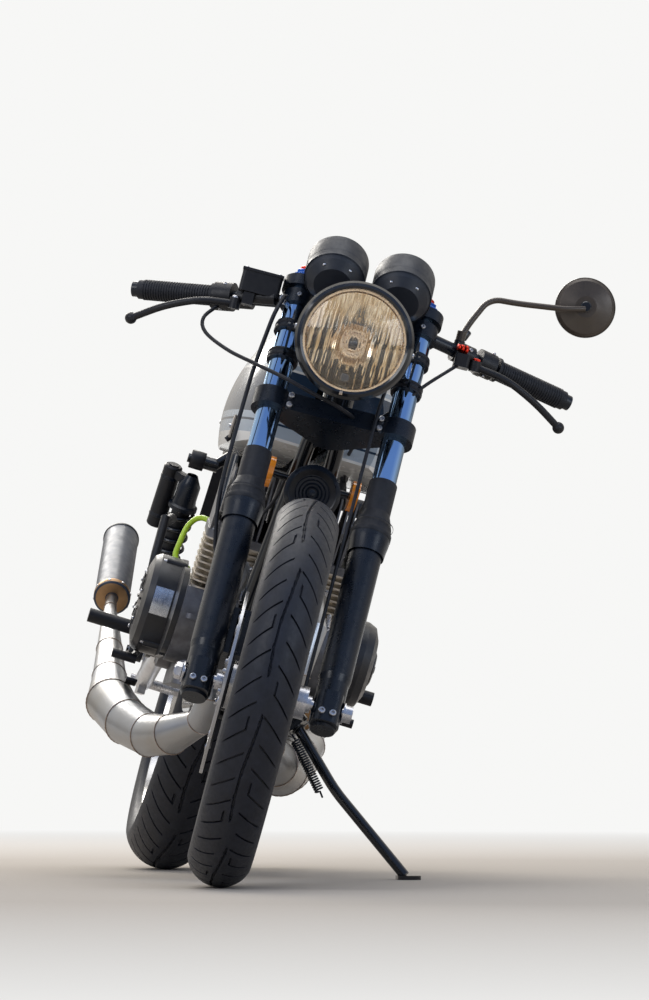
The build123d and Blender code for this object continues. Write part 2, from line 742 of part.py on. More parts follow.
def head(side):
    base = Pos(0, 0, 7) * rounded_block(barrel_depth, barrel_width, 14, 16)
    dome = turned_z([(0, 10), (38, 10), (34, 40), (16, 56), (16, 64), (0, 64)])
    fins = []
    for index in range(head_fins):
        y = (index - (head_fins - 1) / 2) * 13.4
        drop = 26 if abs(y) > 55 else 6
        outline = [(-barrel_depth / 2 + 6, 10), (barrel_depth / 2 - 6, 10), (barrel_depth / 2 - 2, 70),
                   (barrel_depth / 2 - 34, head_height - drop), (-barrel_depth / 2 + 34, head_height - drop),
                   (-barrel_depth / 2 + 2, 70)]
        fins.append(slab(outline, y - 1.6, y + 1.6))
    well = Pos(0, 0, 64) * Cylinder(15, 200, align=(Align.CENTER, Align.CENTER, Align.MIN))
    return cylinder_frame * Pos(0, side * cylinder_spacing / 2, barrel_top) * (base + dome + fins - well)


def plug_caps():
    pieces = []
    for side in (-1, 1):
        seat = cylinder_frame * Pos(0, side * cylinder_spacing / 2, barrel_top + 64)
        stem = turned_z([(0, 0), (9, 0), (9, 20), (8, 22), (8, 66), (6, 70), (6, 84), (0, 84)])
        pieces.append(seat * stem)
    return pieces


clutch_x = -60.0
clutch_z = 436.0
clutch_radius = 87.0
clutch_face_y = -200.0
generator_radius = 76.0


def screw_bosses(x, z, radius, angles, start, end):
    """Round lugs for the screws in a cover's edge, at angles up from forward."""
    return [rod((x + radius * math.cos(turn), start, z + radius * math.sin(turn)),
                (x + radius * math.cos(turn), end, z + radius * math.sin(turn)), boss_radius)
            for turn in (math.radians(angle) for angle in angles)]


boss_radius = 8.0


def clutch_cover():
    base = Pos(0, -case_half_width, 0) * (
        Pos(crank_x, -5, crank_z) * disc_y(76, -5, 5)
        + Pos(clutch_x, -5, clutch_z) * disc_y(clutch_radius + 1, -5, 5)
        + Pos(0, -5, crank_z - 10) * Box(120, 10, 140))
    dome = Pos(clutch_x, 0, clutch_z) * revolved([
        (0, -case_half_width - 8), (clutch_radius, -case_half_width - 8), (clutch_radius, clutch_face_y + 18),
        (clutch_radius - 6, clutch_face_y + 8), (clutch_radius - 26, clutch_face_y + 2), (0, clutch_face_y)])
    bosses = screw_bosses(clutch_x, clutch_z, clutch_radius - 3, (60, 110, 160, 210, 305),
                          -case_half_width - 2, clutch_face_y + 26)
    return base + dome + bosses


def generator_cover():
    dome = Pos(crank_x, 0, crank_z) * revolved([
        (0, case_half_width), (generator_radius, case_half_width), (generator_radius, 184),
        (generator_radius - 6, 198), (52, 206), (0, 208)])
    bosses = screw_bosses(crank_x, crank_z, generator_radius - 2, (20, 80, 140, 220, 280, 330),
                          case_half_width, 152)
    return dome + bosses


def sprocket_cover():
    plate = slab([(-215, 350), (-215, 462), (-180, 486), (-20, 486), (-20, 350)], 100, 128)
    room = Pos(crank_x, 0, crank_z) * disc_y(crankcase_radius + seat_gap, 0, 200)
    return plate - room


def carburettors():
    pieces = []
    for side in (-1, 1):
        plane = cylinder_frame * Pos(-70.3, side * cylinder_spacing / 2, barrel_base + 50)
        stub = Rot(Y=-90) * Cylinder(21, 60, align=(Align.CENTER, Align.CENTER, Align.MIN))
        slide = Pos(-36, 0, 14) * Cylinder(22, 82)
        bowl = Pos(-36, 0, -36) * rounded_block(46, 44, 30, 8)
        pieces.append(plane * (stub + slide + bowl))
    return pieces


def air_filters():
    pieces = []
    for side in (-1, 1):
        plane = cylinder_frame * Pos(-130.6, side * cylinder_spacing / 2, barrel_base + 50)
        pod = turned_z([(0, 0), (25, 0), (27, 10), (32, 14), (30, 78), (26, 84), (0, 84)])
        pieces.append(plane * Rot(Y=-90) * pod)
    return pieces


Station = namedtuple("Station", "x y z radius")
port_height = 42.0
port_reach = 68.0
silencer_radius = 33.0


def port_point(along):
    """A place along the exhaust port's axis, forward of the cylinder's centre."""
    point = cylinder_frame.from_local_coords(Vector(along, 0, barrel_base + port_height))
    return point.X, point.Z


port_start = port_point(port_reach + seat_gap)
port_out = port_point(port_reach + 46)
port_y = cylinder_spacing / 2
right_pipe = [
    Station(port_start[0], -port_y, port_start[1], 21), Station(port_out[0], -port_y, port_out[1], 21),
    Station(252, -80, 458, 22),
    Station(272, -72, 380, 22), Station(262, -54, 304, 22), Station(215, -56, 256, 23),
    Station(150, -92, 224, 34), Station(80, -122, 214, 37), Station(0, -161, 226, 40),
    Station(-90, -194, 253, 42), Station(-200, -202, 295, 30), Station(-320, -210, 346, 23),
    Station(-430, -218, 395, 16), Station(-480, -222.8, 424, 10.5), Station(-520, -223.3, 443, 10.5),
]
left_pipe = [
    Station(port_start[0], port_y, port_start[1], 21), Station(port_out[0], port_y, port_out[1], 21),
    Station(252, 80, 458, 22),
    Station(272, 72, 380, 23), Station(256, 56, 300, 25), Station(205, 64, 248, 30),
    Station(110, 92, 228, 40), Station(20, 110, 226, 49), Station(-110, 128, 236, 49),
    Station(-210, 150, 254, 43), Station(-330, 178, 284, 29), Station(-430, 194, 312, 14),
    Station(-460, 197, 321, 11), Station(-510, 199, 337, 11),
]


def chamber(stations):
    """Expansion chamber rolled from cones, one section at each weld."""
    points = [Vector(s.x, s.y, s.z) for s in stations]
    sections = []
    for index, station in enumerate(stations):
        before = points[max(index - 1, 0)]
        after = points[min(index + 1, len(points) - 1)]
        here = points[index]
        way = (here - before).normalized() if index else (after - here).normalized()
        onward = (after - here).normalized() if index < len(points) - 1 else way
        plane = Plane(origin=here, x_dir=(0, 1, 0.01), z_dir=way + onward)
        sections.append(plane * Circle(station.radius))
    collar = Plane(origin=points[0], z_dir=points[1] - points[0]) * Cylinder(
        stations[0].radius + 8, 8, align=(Align.CENTER, Align.CENTER, Align.MIN))
    return loft(sections, ruled=True) + collar


def silencer(stations, length):
    """Slip-on can at the end of the stinger."""
    end = stations[-1]
    start = stations[-2]
    way = Vector(end.x - start.x, end.y - start.y, end.z - start.z).normalized()
    plane = Plane(origin=(end.x, end.y, end.z), z_dir=way)
    radius = silencer_radius
    can = turned_z([(0, 0.05), (radius - 3, 0.05), (radius, 2), (radius, 10), (radius - 1, 11),
                    (radius - 1, length - 14), (radius - 6, length - 4), (14, length), (14, length + 14),
                    (11, length + 14), (11, length - 20), (0, length - 20)])
    return plane * can


# Body

tank_tunnel = 29.0
tank_cap_x = 70.0
tank_cap_seat = 924.0
tank_cap_radius = 38.0


roll_across = 30.0
roll_down = 34.0
crown_drop = 6.0
foot_share = 0.94


def body_section(x, half, low, high, crown):
    """Flat foot, bulged sides that lean in to the crown's share, and a rolled top."""
    foot = half * foot_share
    shoulder = half * crown
    turn = high - roll_down
    side = ThreePointArc((foot, low), (half, low + 0.4 * (turn - low)), (shoulder, turn))
    roll = ThreePointArc((shoulder, turn), (shoulder - 0.35 * roll_across, high - 0.45 * roll_down),
                         (shoulder - roll_across, high - crown_drop))
    top = ThreePointArc((shoulder - roll_across, high - crown_drop), (0, high),
                        (roll_across - shoulder, high - crown_drop))
    outline = side + roll + top + mirror(roll, about=Plane.YZ) + mirror(side, about=Plane.YZ)
    return make_face(Plane.YZ.offset(x) * (outline + Line((-foot, low), (foot, low))))


Section = namedtuple("Section", "x half low high crown")
tank_sections = [
    Section(262, 96, 742, 900, 0.80), Section(190, 132, 730, 926, 0.86), Section(60, 155, 724, 936, 0.84),
    Section(-70, 148, 724, 926, 0.80), Section(-180, 92, 740, 866, 0.86),
]


def fuel_tank():
    body = loft([body_section(*section) for section in tank_sections])
    tunnel = rod(neck, spine_end, tank_tunnel)
    slot = Pos(40, 0, 745) * Box(600, 2 * tank_tunnel, 120)
    well = Pos(tank_cap_x, 0, tank_cap_seat) * Cylinder(
        tank_cap_radius + seat_gap, 60, align=(Align.CENTER, Align.CENTER, Align.MIN))
    chin = slab([(neck[0], neck[2]), (60, 806), (60, 700), (360, 700)], -tank_tunnel, tank_tunnel)
    return body - tunnel - slot - well - chin


def tank_cap():
    return Pos(tank_cap_x, 0, tank_cap_seat + seat_gap) * turned_z([
        (0, 0), (tank_cap_radius, 0), (tank_cap_radius, 14), (tank_cap_radius - 3, 17),
        (tank_cap_radius - 12, 17), (tank_cap_radius - 15, 20), (0, 20)])


def seat_pad():
    sections = []
    for x, half, high in ((-196, 82, 838), (-300, 112, 834), (-440, 122, 836), (-546, 118, 856)):
        outline = [(-half, 782), (half, 782), (half, high - 14), (half - 16, high), (-half + 16, high),
                   (-half, high - 14)]
        sections.append(make_face(Plane.YZ.offset(x) * Polyline(outline, close=True)))
    return loft(sections)


cowl_sections = [
    Section(-548, 122, 776.3, 888, 0.92), Section(-640, 116, 782, 896, 0.90),
    Section(-760, 88, 800, 880, 0.88), Section(-830, 62, 814, 866, 0.86),
]


def seat_cowl():
    base = Pos(-400, 0, 779) * Box(420, 216, 5.4)
    return base + loft([body_section(*section) for section in cowl_sections])


def tail_lamp():
    return Pos(-831, 0, 840) * Rot(Y=-90) * Cylinder(26, 18, align=(Align.CENTER, Align.CENTER, Align.MIN))


plate_place = Pos(-852, 0, 708) * Rot(Y=14)
plate_hole_spacing = 115.0
plate_hole_radius = 3.0


def plate_holder():
    front = tail_bar[0] - tail_bar_radius - seat_gap
    arm = Pos(front, 0, tail_bar[1]) * Box(42, 60, 18, align=(Align.MAX, Align.CENTER, Align.CENTER))
    stay = rod((-774, 0, 772), (-850, 0, 722), 8)
    plate = Box(4, 190, 120)
    holes = [Pos(0, side * plate_hole_spacing / 2, 34) * Rot(Y=90) * Cylinder(plate_hole_radius, 20)
             for side in (-1, 1)]
    return arm + stay + plate_place * (plate - holes)


def battery_box():
    return Pos(-262, 0, 640) * rounded_block(76, 130, 170, 8)


horn_z = 664.0
horn_reach = 60.0
horn_bar_radius = 8.0
reflector_z = 684.0
reflector_y = 67.0


def down_tube_point(z):
    """Centre line of the left front tube of the cradle."""
    high, low = cradle_front
    share = (high[2] - z) / (high[2] - low[2])
    return tuple(a + (b - a) * share for a, b in zip(high, low))


def front_brackets():
    """Cross bar for the horn and a stub for each side reflector, on the down tubes."""
    bar_x, bar_y, _ = down_tube_point(horn_z)
    tube_x, tube_y, _ = down_tube_point(reflector_z)
    stub = rod((tube_x + 5, tube_y, reflector_z), (tube_x + 5, reflector_y - seat_gap, reflector_z), 6)
    return [rod((bar_x, -bar_y, horn_z), (bar_x, bar_y, horn_z), horn_bar_radius)] + both(stub)


def horn():
    outline = [(0, 0), (24, 0), (26, 20), (44, 24), (47, 30), (47, 40), (38, 44), (30, 38), (0, 36)]
    back = down_tube_point(horn_z)[0] + horn_bar_radius + seat_gap
    stem = rod((back, 0, horn_z), (back + horn_reach + 2, 0, horn_z), 9)
    return Pos(back + horn_reach, 0, horn_z) * Rot(Y=90) * turned_z(outline) + stem


def side_reflectors():
    tube_x = down_tube_point(reflector_z)[0]
    return [Pos(tube_x + 14, side * (reflector_y + 6), reflector_z) * Rot(X=side * -90) * Cylinder(26, 12)
            for side in (-1, 1)]


def rear_set(side, peg_end, peg_radius, toe):
    """Bracket plate with the footpeg and the foot lever ahead of it."""
    plate = slab([(-200, 372), (-200, 408), (-262, 446), (-320, 440), (-320, 352), (-262, 352)],
                 side * 145 - 4, side * 145 + 4)
    bosses = [rod((-290, side * 130.3, z), (-290, side * 146, z), 9) for z in (364, 436)]
    peg = rod((-230, side * 142, 392), (-230, side * peg_end, 392), peg_radius)
    pivot = rod((-226, side * 142, 392), (-226, side * 172, 392), 12)
    blade = bent_tube([(-226, side * 164, 392), (-150, side * 166, 362), (-62, side * 182, 335)],
                      6.0, bend=200)
    pad = rod((-62, side * 174, 335), (-62, side * toe, 335), 8)
    return plate + bosses + peg + pivot + blade + pad


def kickstart():
    """Starter arm lying back along the engine, its pedal folded in behind it."""
    shaft = rod((-190, -case_half_width - seat_gap, 440), (-190, -190, 440), 11)
    arm = bent_tube([(-190, -180, 440), (-214, -186, 520), (-250, -186, 596)], 8, bend=200)
    pedal = rod((-250, -186, 584), (-300, -172, 600), 9)
    return shaft + arm + pedal


# Drive chain

Stretch = namedtuple("Stretch", "length share_from share_to angle_from angle_to")


def chain_stretches():
    """The pitch line's two runs and two wraps, by the share of the way from front to rear sprocket."""
    small = sprocket_radius(front_teeth)
    large = sprocket_radius(rear_teeth)
    distance = math.dist((front_sprocket_x, front_sprocket_z), (rear_axle_x, rear_axle_z))
    forward = math.atan2(front_sprocket_z - rear_axle_z, front_sprocket_x - rear_axle_x)
    swing = math.acos((large - small) / distance)
    top = forward + swing
    low = forward - swing
    run = distance * math.sin(swing)
    return [
        Stretch(run, 0, 1, top, top),
        Stretch(large * (2 * math.pi - 2 * swing), 1, 1, top, low + 2 * math.pi),
        Stretch(run, 1, 0, low, low),
        Stretch(small * 2 * swing, 0, 0, low, top),
    ]


def chain_place(stretches, way, out):
    """A place some way round the chain and out from its pitch line."""
    for stretch in stretches:
        if way <= stretch.length:
            break
        way -= stretch.length
    t = way / stretch.length
    share = stretch.share_from + (stretch.share_to - stretch.share_from) * t
    angle = stretch.angle_from + (stretch.angle_to - stretch.angle_from) * t
    radius = sprocket_radius(front_teeth) * (1 - share) + sprocket_radius(rear_teeth) * share + out
    x = front_sprocket_x + (rear_axle_x - front_sprocket_x) * share + radius * math.cos(angle)
    z = front_sprocket_z + (rear_axle_z - front_sprocket_z) * share + radius * math.sin(angle)
    return x, z


def chain():
    """Waisted link plates all the way round, and rollers where no sprocket's tooth reaches them."""
    stretches = chain_stretches()
    around = sum(stretch.length for stretch in stretches)
    links = 2 * round(around / (2 * chain_pitch))
    step = around / links

    def edge(marks):
        points = [chain_place(stretches, step * (index + shift) % around, out)
                  for index in range(links) for shift, out in marks]
        return make_face(Plane.XZ * Polyline(points, close=True))

    high = link_height / 2
    waist = link_waist / 2
    band = edge(((0.28, high), (0.5, waist), (0.72, high))) - edge(((0, -high), (0.5, -waist)))
    offset = sprocket_thickness / 2 + run_clearance + link_thickness / 2
    plates = [Pos(0, side * offset, 0) * extrude(band, link_thickness / 2, both=True) for side in (-1, 1)]
    clear = sprocket_radius(rear_teeth) + tooth_height + roller_radius + run_clearance
    rollers = []
    for index in range(links):
        x, z = chain_place(stretches, step * index, 0)
        if math.dist((x, z), (rear_axle_x, rear_axle_z)) > clear:
            rollers.append(Pos(x, 0, z) * disc_y(roller_radius, -offset, offset))
    return Pos(0, chain_y, 0) * (plates[0] + rollers + plates[1])


# Setting the machine down

steer_axis = Axis(head_point(0), tuple(fork_frame.z_dir))


def steered(shape):
    """The front end turned to its stop."""
    return shape.rotate(steer_axis, rest_steer)


def tyre_foot(size, center, normal):
    """Height of a round-crowned tyre's lowest point."""
    ring_radius = size.radius - size.crown
    return center.Z - ring_radius * math.sqrt(1 - normal.Z ** 2) - size.crown


def wheel_feet(attitude):
    """Heights of both tyres' lowest points at an attitude."""
    heights = []
    for size, axle_x, axle_z, turn in ((front_tyre_size, front_axle_x, front_axle_z, True),
                                       (rear_tyre_size, rear_axle_x, rear_axle_z, False)):
        marks = [Vertex(axle_x, y, axle_z) for y in (0, 1)]
        if turn:
            marks = [steered(mark) for mark in marks]
        center, side = [Vector(*(attitude * mark).center()) for mark in marks]
        heights.append(tyre_foot(size, center, side - center))
    return heights


def level_pitch():
    """The small nose-up angle that brings both tyres to the ground."""
    pitch = 0.0
    for _ in range(4):
        front, rear = wheel_feet(Rot(Y=pitch) * Rot(X=-lean))
        pitch += math.degrees(math.atan2(front - rear, wheelbase))
    return pitch


attitude = Rot(Y=level_pitch()) * Rot(X=-lean)
ground = min(wheel_feet(attitude))
set_down = Pos(0, 0, -ground) * attitude


def parked(point):
    """An upright place after leaning and setting down, before the origin is moved."""
    return Vector(*(set_down * Vertex(*point)).center())


# Side stand, drawn upright like the rest, with its foot found from where the ground will be

stand_pivot = (60.0, 112.0, 304.0)
stand_kink = (92.0, 205.0, 214.0)
stand_foot = (140.0, 372.0)
stand_stowed = (-0.955, 0.28, 0.07)
stand_leg_radius = 9.0
stand_bolt_radius = 6.0
stand_eye_radius = 14.0
stand_eye_height = 22.0
stand_cheek = 6.0
stand_cheek_gap = 0.5
stand_pad = (56.0, 40.0, 7.0)
stand_pad_drop = 200.0

upright = set_down.inverse()
stand_down = Vector(*(upright * Vertex(*stand_foot, stand_pad[2])).center()) - Vector(*stand_pivot)
stand_away = Vector(*stand_stowed)
stand_axis = stand_down.cross(stand_away).normalized()
stand_swing = stand_down.get_angle(stand_away)
stand_plane = Plane(origin=stand_pivot, x_dir=Vector(0, 0, 1).cross(stand_axis) * -1, z_dir=stand_axis)


def stand_bracket():
    """Two cheeks and a bolt on a stub from the frame's left lower rail."""
    outer = stand_eye_height / 2 + stand_cheek_gap + stand_cheek
    inner = stand_eye_height / 2 + stand_cheek_gap
    cheeks = []
    for low in (-outer, inner):
        eye = Pos(0, 0, low + stand_cheek / 2) * Cylinder(stand_eye_radius - 1, stand_cheek)
        cheeks.append(eye + Pos(15, 0, low + stand_cheek / 2) * Box(30, 24, stand_cheek))
    bridge = Pos(25, 0, 0) * Box(12, 24, 2 * outer)
    bolt = Cylinder(stand_bolt_radius, 2 * outer + 8)
    block = stand_plane * Pos(25, 0, 0)
    stub = rod(tuple(block.position), (block.position.X - 6, 55, cradle_z), 9)
    return stand_plane * (bridge + cheeks + bolt) + stub


def side_stand():
    foot = upright * Pos(*stand_foot, 0)
    ankle = (foot * Pos(0, 0, stand_pad[2])).position
    leg = bent_tube([stand_pivot, stand_kink, tuple(ankle)], stand_leg_radius, bend=300)
    pad = foot * Pos(0, 6, stand_pad[2] / 2) * rounded_block(*stand_pad, 12)
    below = foot * Pos(0, 0, -stand_pad_drop / 2) * Box(400, 400, stand_pad_drop)
    eye = stand_plane * Cylinder(stand_eye_radius, stand_eye_height)
    bore = stand_plane * Cylinder(stand_bolt_radius + run_gap, 3 * stand_eye_height)
    return leg + pad + eye - bore - below


def main():
    os.makedirs("parts", exist_ok=True)
    front_wheel_place = Pos(front_axle_x, 0, front_axle_z)
    rear_wheel_place = Pos(rear_axle_x, 0, rear_axle_z)
    front_end = {
        "front_tyre": front_wheel_place * tyre(front_tyre_size),
        "front_wheel": front_wheel_place * wheel_core(
            front_tyre_size, front_hub(), front_hub_flange, front_hub_y),
        "front_disc": front_wheel_place * (front_disc() - front_hub()),
        "front_axle": front_axle(),
        "fork_stanchions": stanchions(),
        "fork_sliders": [slider(side) for side in (-1, 1)],
        "fork_boots": [boot(side) for side in (-1, 1)],
        "lower_clamp": lower_clamp(),
        "top_clamp": top_clamp(),
        "fork_caps": fork_caps(),
        "headlight_shell": headlight_shell(),
        "headlight_reflector": headlight_reflector(),
        "headlight_lens": headlight_lens(),
        "headlight_brackets": headlight_brackets(),
        "gauges": [gauge(side) for side in (-1, 1)],
        "gauge_bracket": gauge_bracket(),
        "clip_ons": both(clip_on()),
        "grips": both(grip()),
        "master_cylinder": master_cylinder(),
        "switchgear": switchgear(),
        "clutch_perch": clutch_perch(),
        "levers": [lever(92), mirror(lever(88), about=Plane.XZ)],
        "mirror": rear_view_mirror(),
        "front_caliper": caliper(),
        "brake_hose": brake_hose(),
        "speedo_cable": speedo_cable(),
    }
    chassis = {
        "rear_tyre": rear_wheel_place * tyre(rear_tyre_size),
        "rear_wheel": rear_wheel_place * wheel_core(
            rear_tyre_size, rear_hub(), rear_hub_flange, rear_hub_y),
        "rear_sprocket": Pos(0, chain_y, 0) * rear_wheel_place * sprocket(
            rear_teeth, sprocket_thickness, rear_axle_radius + 1),
        "rear_axle": rear_wheel_place * disc_y(rear_axle_radius, -arm_y - 24, arm_y + 24),
        "frame": frame(),
        "swingarm": swingarm(),
        "shocks": [shock(side) for side in (-1, 1)],
        "engine_cases": engine_cases(),
        "barrels": [barrel(side) for side in (-1, 1)],
        "heads": [head(side) for side in (-1, 1)],
        "plug_caps": plug_caps(),
        "engine_covers": [clutch_cover(), generator_cover(), sprocket_cover()],
        "carburettors": carburettors(),
        "air_filters": air_filters(),
        "exhaust_chambers": [chamber(right_pipe), chamber(left_pipe)],
        "silencers": [silencer(right_pipe, 290), silencer(left_pipe, 270)],
        "fuel_tank": fuel_tank(),
        "tank_cap": tank_cap(),
        "seat_pad": seat_pad(),
        "seat_cowl": seat_cowl(),
        "tail_lamp": tail_lamp(),
        "plate_holder": plate_holder(),
        "battery_box": battery_box(),
        "horn": horn(),
        "side_reflectors": side_reflectors(),
        "rear_sets": [rear_set(-1, 267, 12.5, 217), rear_set(1, 254, 12.5, 217)],
        "kickstart": kickstart(),
        "chain": chain(),
        "side_stand": side_stand(),
    }
    nodes = {name: set_down * steered(gathered(shape)) for name, shape in front_end.items()}
    nodes.update({name: set_down * gathered(shape) for name, shape in chassis.items()})
    boxes = [shape.bounding_box() for shape in nodes.values()]
    middle_x = (min(box.min.X for box in boxes) + max(box.max.X for box in boxes)) / 2
    middle_y = (min(box.min.Y for box in boxes) + max(box.max.Y for box in boxes)) / 2
    for name, shape in nodes.items():
        export_step(Pos(-middle_x, -middle_y, 0) * shape, f"parts/{name}.step")
    print("origin", round(middle_x, 3), round(middle_y, 3), "ground", round(ground, 4))
    return middle_x, middle_y


def gathered(shape):
    """One shape for a node, from a piece or a list of pieces."""
    items = shape if isinstance(shape, (list, tuple)) else [shape]
    solids = [solid for item in items for solid in item.solids()]
    return solids[0] if len(solids) == 1 else Compound(solids)


origin_x, origin_y = main()
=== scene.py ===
import json
from collections import namedtuple
from math import atan2, copysign, cos, exp, hypot, pi, radians, sin, sqrt, tau

import bmesh
import bpy
from mathutils import Matrix, Vector

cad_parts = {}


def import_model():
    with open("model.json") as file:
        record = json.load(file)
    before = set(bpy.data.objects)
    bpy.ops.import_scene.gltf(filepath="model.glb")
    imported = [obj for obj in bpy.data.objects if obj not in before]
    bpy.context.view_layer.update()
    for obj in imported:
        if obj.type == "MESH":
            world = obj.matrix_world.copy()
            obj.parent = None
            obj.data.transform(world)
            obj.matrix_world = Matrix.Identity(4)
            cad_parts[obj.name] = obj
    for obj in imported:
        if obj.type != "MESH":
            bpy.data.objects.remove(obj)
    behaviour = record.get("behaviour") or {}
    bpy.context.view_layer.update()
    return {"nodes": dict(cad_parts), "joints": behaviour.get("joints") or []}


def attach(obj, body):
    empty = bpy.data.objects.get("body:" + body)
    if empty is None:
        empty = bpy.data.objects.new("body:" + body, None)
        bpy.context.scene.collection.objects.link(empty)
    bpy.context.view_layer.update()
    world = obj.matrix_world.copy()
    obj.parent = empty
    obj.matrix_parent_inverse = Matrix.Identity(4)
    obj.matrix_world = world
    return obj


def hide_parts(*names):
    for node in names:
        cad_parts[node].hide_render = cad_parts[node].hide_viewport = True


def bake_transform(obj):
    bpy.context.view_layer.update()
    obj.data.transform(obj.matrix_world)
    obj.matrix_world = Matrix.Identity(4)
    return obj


# Finishes, soft parts and fine detail of the cafe racer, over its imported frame.
# Sizes are millimetres in the machine's own upright frame: +X forward, +Y left, +Z up,
# x = 0 midway between the axles. Each place below carries them into the parked frame in metres.

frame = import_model()
nodes = frame["nodes"]
joints = {joint["name"]: joint for joint in frame["joints"]}

MM = 0.001
RAKE = radians(26)
REST_STEER = radians(-4.3)
FRONT_AXLE = Vector((670, 0, 318.5))
REAR_AXLE = Vector((-670, 0, 319.5))
FORK_OFFSET = 45
HALF_LEGS = 105.5
CRANK = Vector((60, 0, 430))
CYLINDER_TILT = 12
CYLINDER_Y = 67
BARREL_BASE = 58
BARREL_TOP = BARREL_BASE + 10.8 * 8 + 3
LAMP_AT = (505.04, 0, 913.99)
SIDES = (-1, 1)


# Places: matrices from a piece's own millimetres to the parked machine's metres

def basis(x_dir, y_dir, z_dir, origin):
    place = Matrix((x_dir, y_dir, z_dir)).transposed().to_4x4()
    place.translation = Vector(origin)
    return place


def at(x, y, z):
    return Matrix.Translation((x, y, z))


def turn(axis, degrees):
    return Matrix.Rotation(radians(degrees), 4, axis)


def along(start, end):
    """A place whose Z runs from one point towards another."""
    way = (Vector(end) - Vector(start)).normalized()
    return at(*start) @ way.to_track_quat("Z", "Y").to_matrix().to_4x4()


def outward(x, y, z, side):
    """A place whose Z points away from the machine's middle plane."""
    return at(x, y, z) @ turn("X", -90 * side)


def polar(radius, degrees):
    return radius * cos(radians(degrees)), radius * sin(radians(degrees))


def around(radius, angles):
    return [polar(radius, angle) for angle in angles]


def helix(radius, turns, steps, low, high):
    """Points up a coil round Z."""
    count = int(turns * steps)
    return [(*polar(radius, 360 * i / steps), low + (high - low) * i / count) for i in range(count + 1)]


def upright_place():
    """The chassis' place, read from the rear axle and the steering axis."""
    side = Vector(joints["rear_wheel_spin"]["axis"]).normalized()
    fork_up = Vector(joints["steering"]["axis"]).normalized()
    across = fork_up.cross(side)
    ahead = -sin(RAKE) * fork_up - cos(RAKE) * across
    above = cos(RAKE) * fork_up - sin(RAKE) * across
    rear = Vector(joints["rear_wheel_spin"]["pos_m"])
    return basis(ahead, side, above, rear) @ Matrix.Scale(MM, 4) @ at(*-REAR_AXLE)


def steer_turn():
    """The front end's turn about the steering axis, in the upright frame."""
    head = FORK_UPRIGHT @ Vector((-FORK_OFFSET, 0, 0))
    axis = Vector((-sin(RAKE), 0, cos(RAKE)))
    return at(*head) @ Matrix.Rotation(REST_STEER, 4, axis) @ at(*-head)


# From the front axle, X forward across the fork and Z up it
FORK_UPRIGHT = basis((cos(RAKE), 0, sin(RAKE)), (0, 1, 0), (-sin(RAKE), 0, cos(RAKE)), FRONT_AXLE)
CHASSIS = upright_place()
STEERED = CHASSIS @ steer_turn()
FORK = STEERED @ FORK_UPRIGHT
FRONT_WHEEL = STEERED @ at(*FRONT_AXLE)
REAR_WHEEL = CHASSIS @ at(*REAR_AXLE)
LAMP = STEERED @ basis((0, 0, -1), (0, 1, 0), (1, 0, 0), LAMP_AT)
CYLINDERS = CHASSIS @ at(*CRANK) @ turn("Y", CYLINDER_TILT)
HORN = CHASSIS @ along((376, 0, 664), (377, 0, 664))
FORWARD = turn("Y", 90)
BACKWARD = turn("Y", -90)
RIGHTWARD = turn("X", 90)


# Mesh makers, each adding to a bmesh in the piece's own millimetres

def skin(bm, rows, closed=True):
    """Faces between neighbouring rows of equally many points."""
    count = len(rows[0])
    for low, high in zip(rows, rows[1:]):
        for i in range(count if closed else count - 1):
            j = (i + 1) % count
            bm.faces.new((low[i], low[j], high[j], high[i]))


def turned(bm, outline, place=Matrix.Identity(4), steps=48):
    """Revolves an outline of (radius, height) around Z; a radius of 0 closes it with a point."""
    rings = [[bm.verts.new(place @ Vector((*polar(radius, 360 * i / steps), height)))
              for i in range(steps if radius else 1)] for radius, height in outline]
    for low, high in zip(rings, rings[1:]):
        for i in range(steps):
            j = (i + 1) % steps
            corners = (low[i % len(low)], low[j % len(low)], high[j % len(high)], high[i % len(high)])
            unique = list(dict.fromkeys(corners))
            if len(unique) > 2:
                bm.faces.new(unique)


def tube(bm, points, radius, sides=16, closed=False):
    """A round tube through points, its section carried along without twist."""
    points = [Vector(point) for point in points]
    last = len(points) - 1
    circle = [polar(radius, 360 * k / sides) for k in range(sides)]
    rings = []
    normal = None
    for i, point in enumerate(points):
        before = points[i - 1] if closed or i else point
        after = points[(i + 1) % (last + 1)] if closed or i < last else point
        way = (after - before).normalized()
        if normal is None:
            normal = way.orthogonal().normalized()
        normal = (normal - way * normal.dot(way)).normalized()
        other = way.cross(normal)
        rings.append([bm.verts.new(point + a * normal + b * other) for a, b in circle])
    skin(bm, rings + rings[:1] if closed else rings)
    if not closed:
        bm.faces.new(rings[0][::-1])
        bm.faces.new(rings[-1])


def block(bm, size, place, bevel=1.0):
    """A box with softened edges."""
    made = bmesh.ops.create_cube(bm, size=1.0, matrix=place @ Matrix.Diagonal((*size, 1)))
    if bevel:
        edges = list({edge for vert in made["verts"] for edge in vert.link_edges})
        bmesh.ops.bevel(bm, geom=edges, offset=bevel, segments=2, affect="EDGES", profile=0.7)


def hex_head(bm, place, across, height):
    """A hexagon bolt's head on its washer."""
    wide = across / 1.75
    turned(bm, [(0, 0), (across / 1.9, 0), (wide, 0.8), (wide, height - 0.8), (across / 2, height),
                (0, height)], place, 6)
    turned(bm, [(across * 0.75, 0), (across * 0.75, 1.2), (across / 2, 1.2)], place, 24)


def cap_screw(bm, place, across, height):
    """A round bolt's head with a hexagon socket."""
    radius = across / 2
    turned(bm, [(radius, 0), (radius, height - 1), (radius - 1, height), (radius * 0.55, height)], place, 24)
    turned(bm, [(radius * 0.58, height), (radius * 0.56, height * 0.35), (0, height * 0.35)], place, 6)


def band(bm, place, inner, outer, low, high, slope=1, steps=48):
    """A raised band round a shaft, with sloping flanks."""
    turned(bm, [(inner, low), (outer, low + slope), (outer, high - slope), (inner, high)], place, steps)


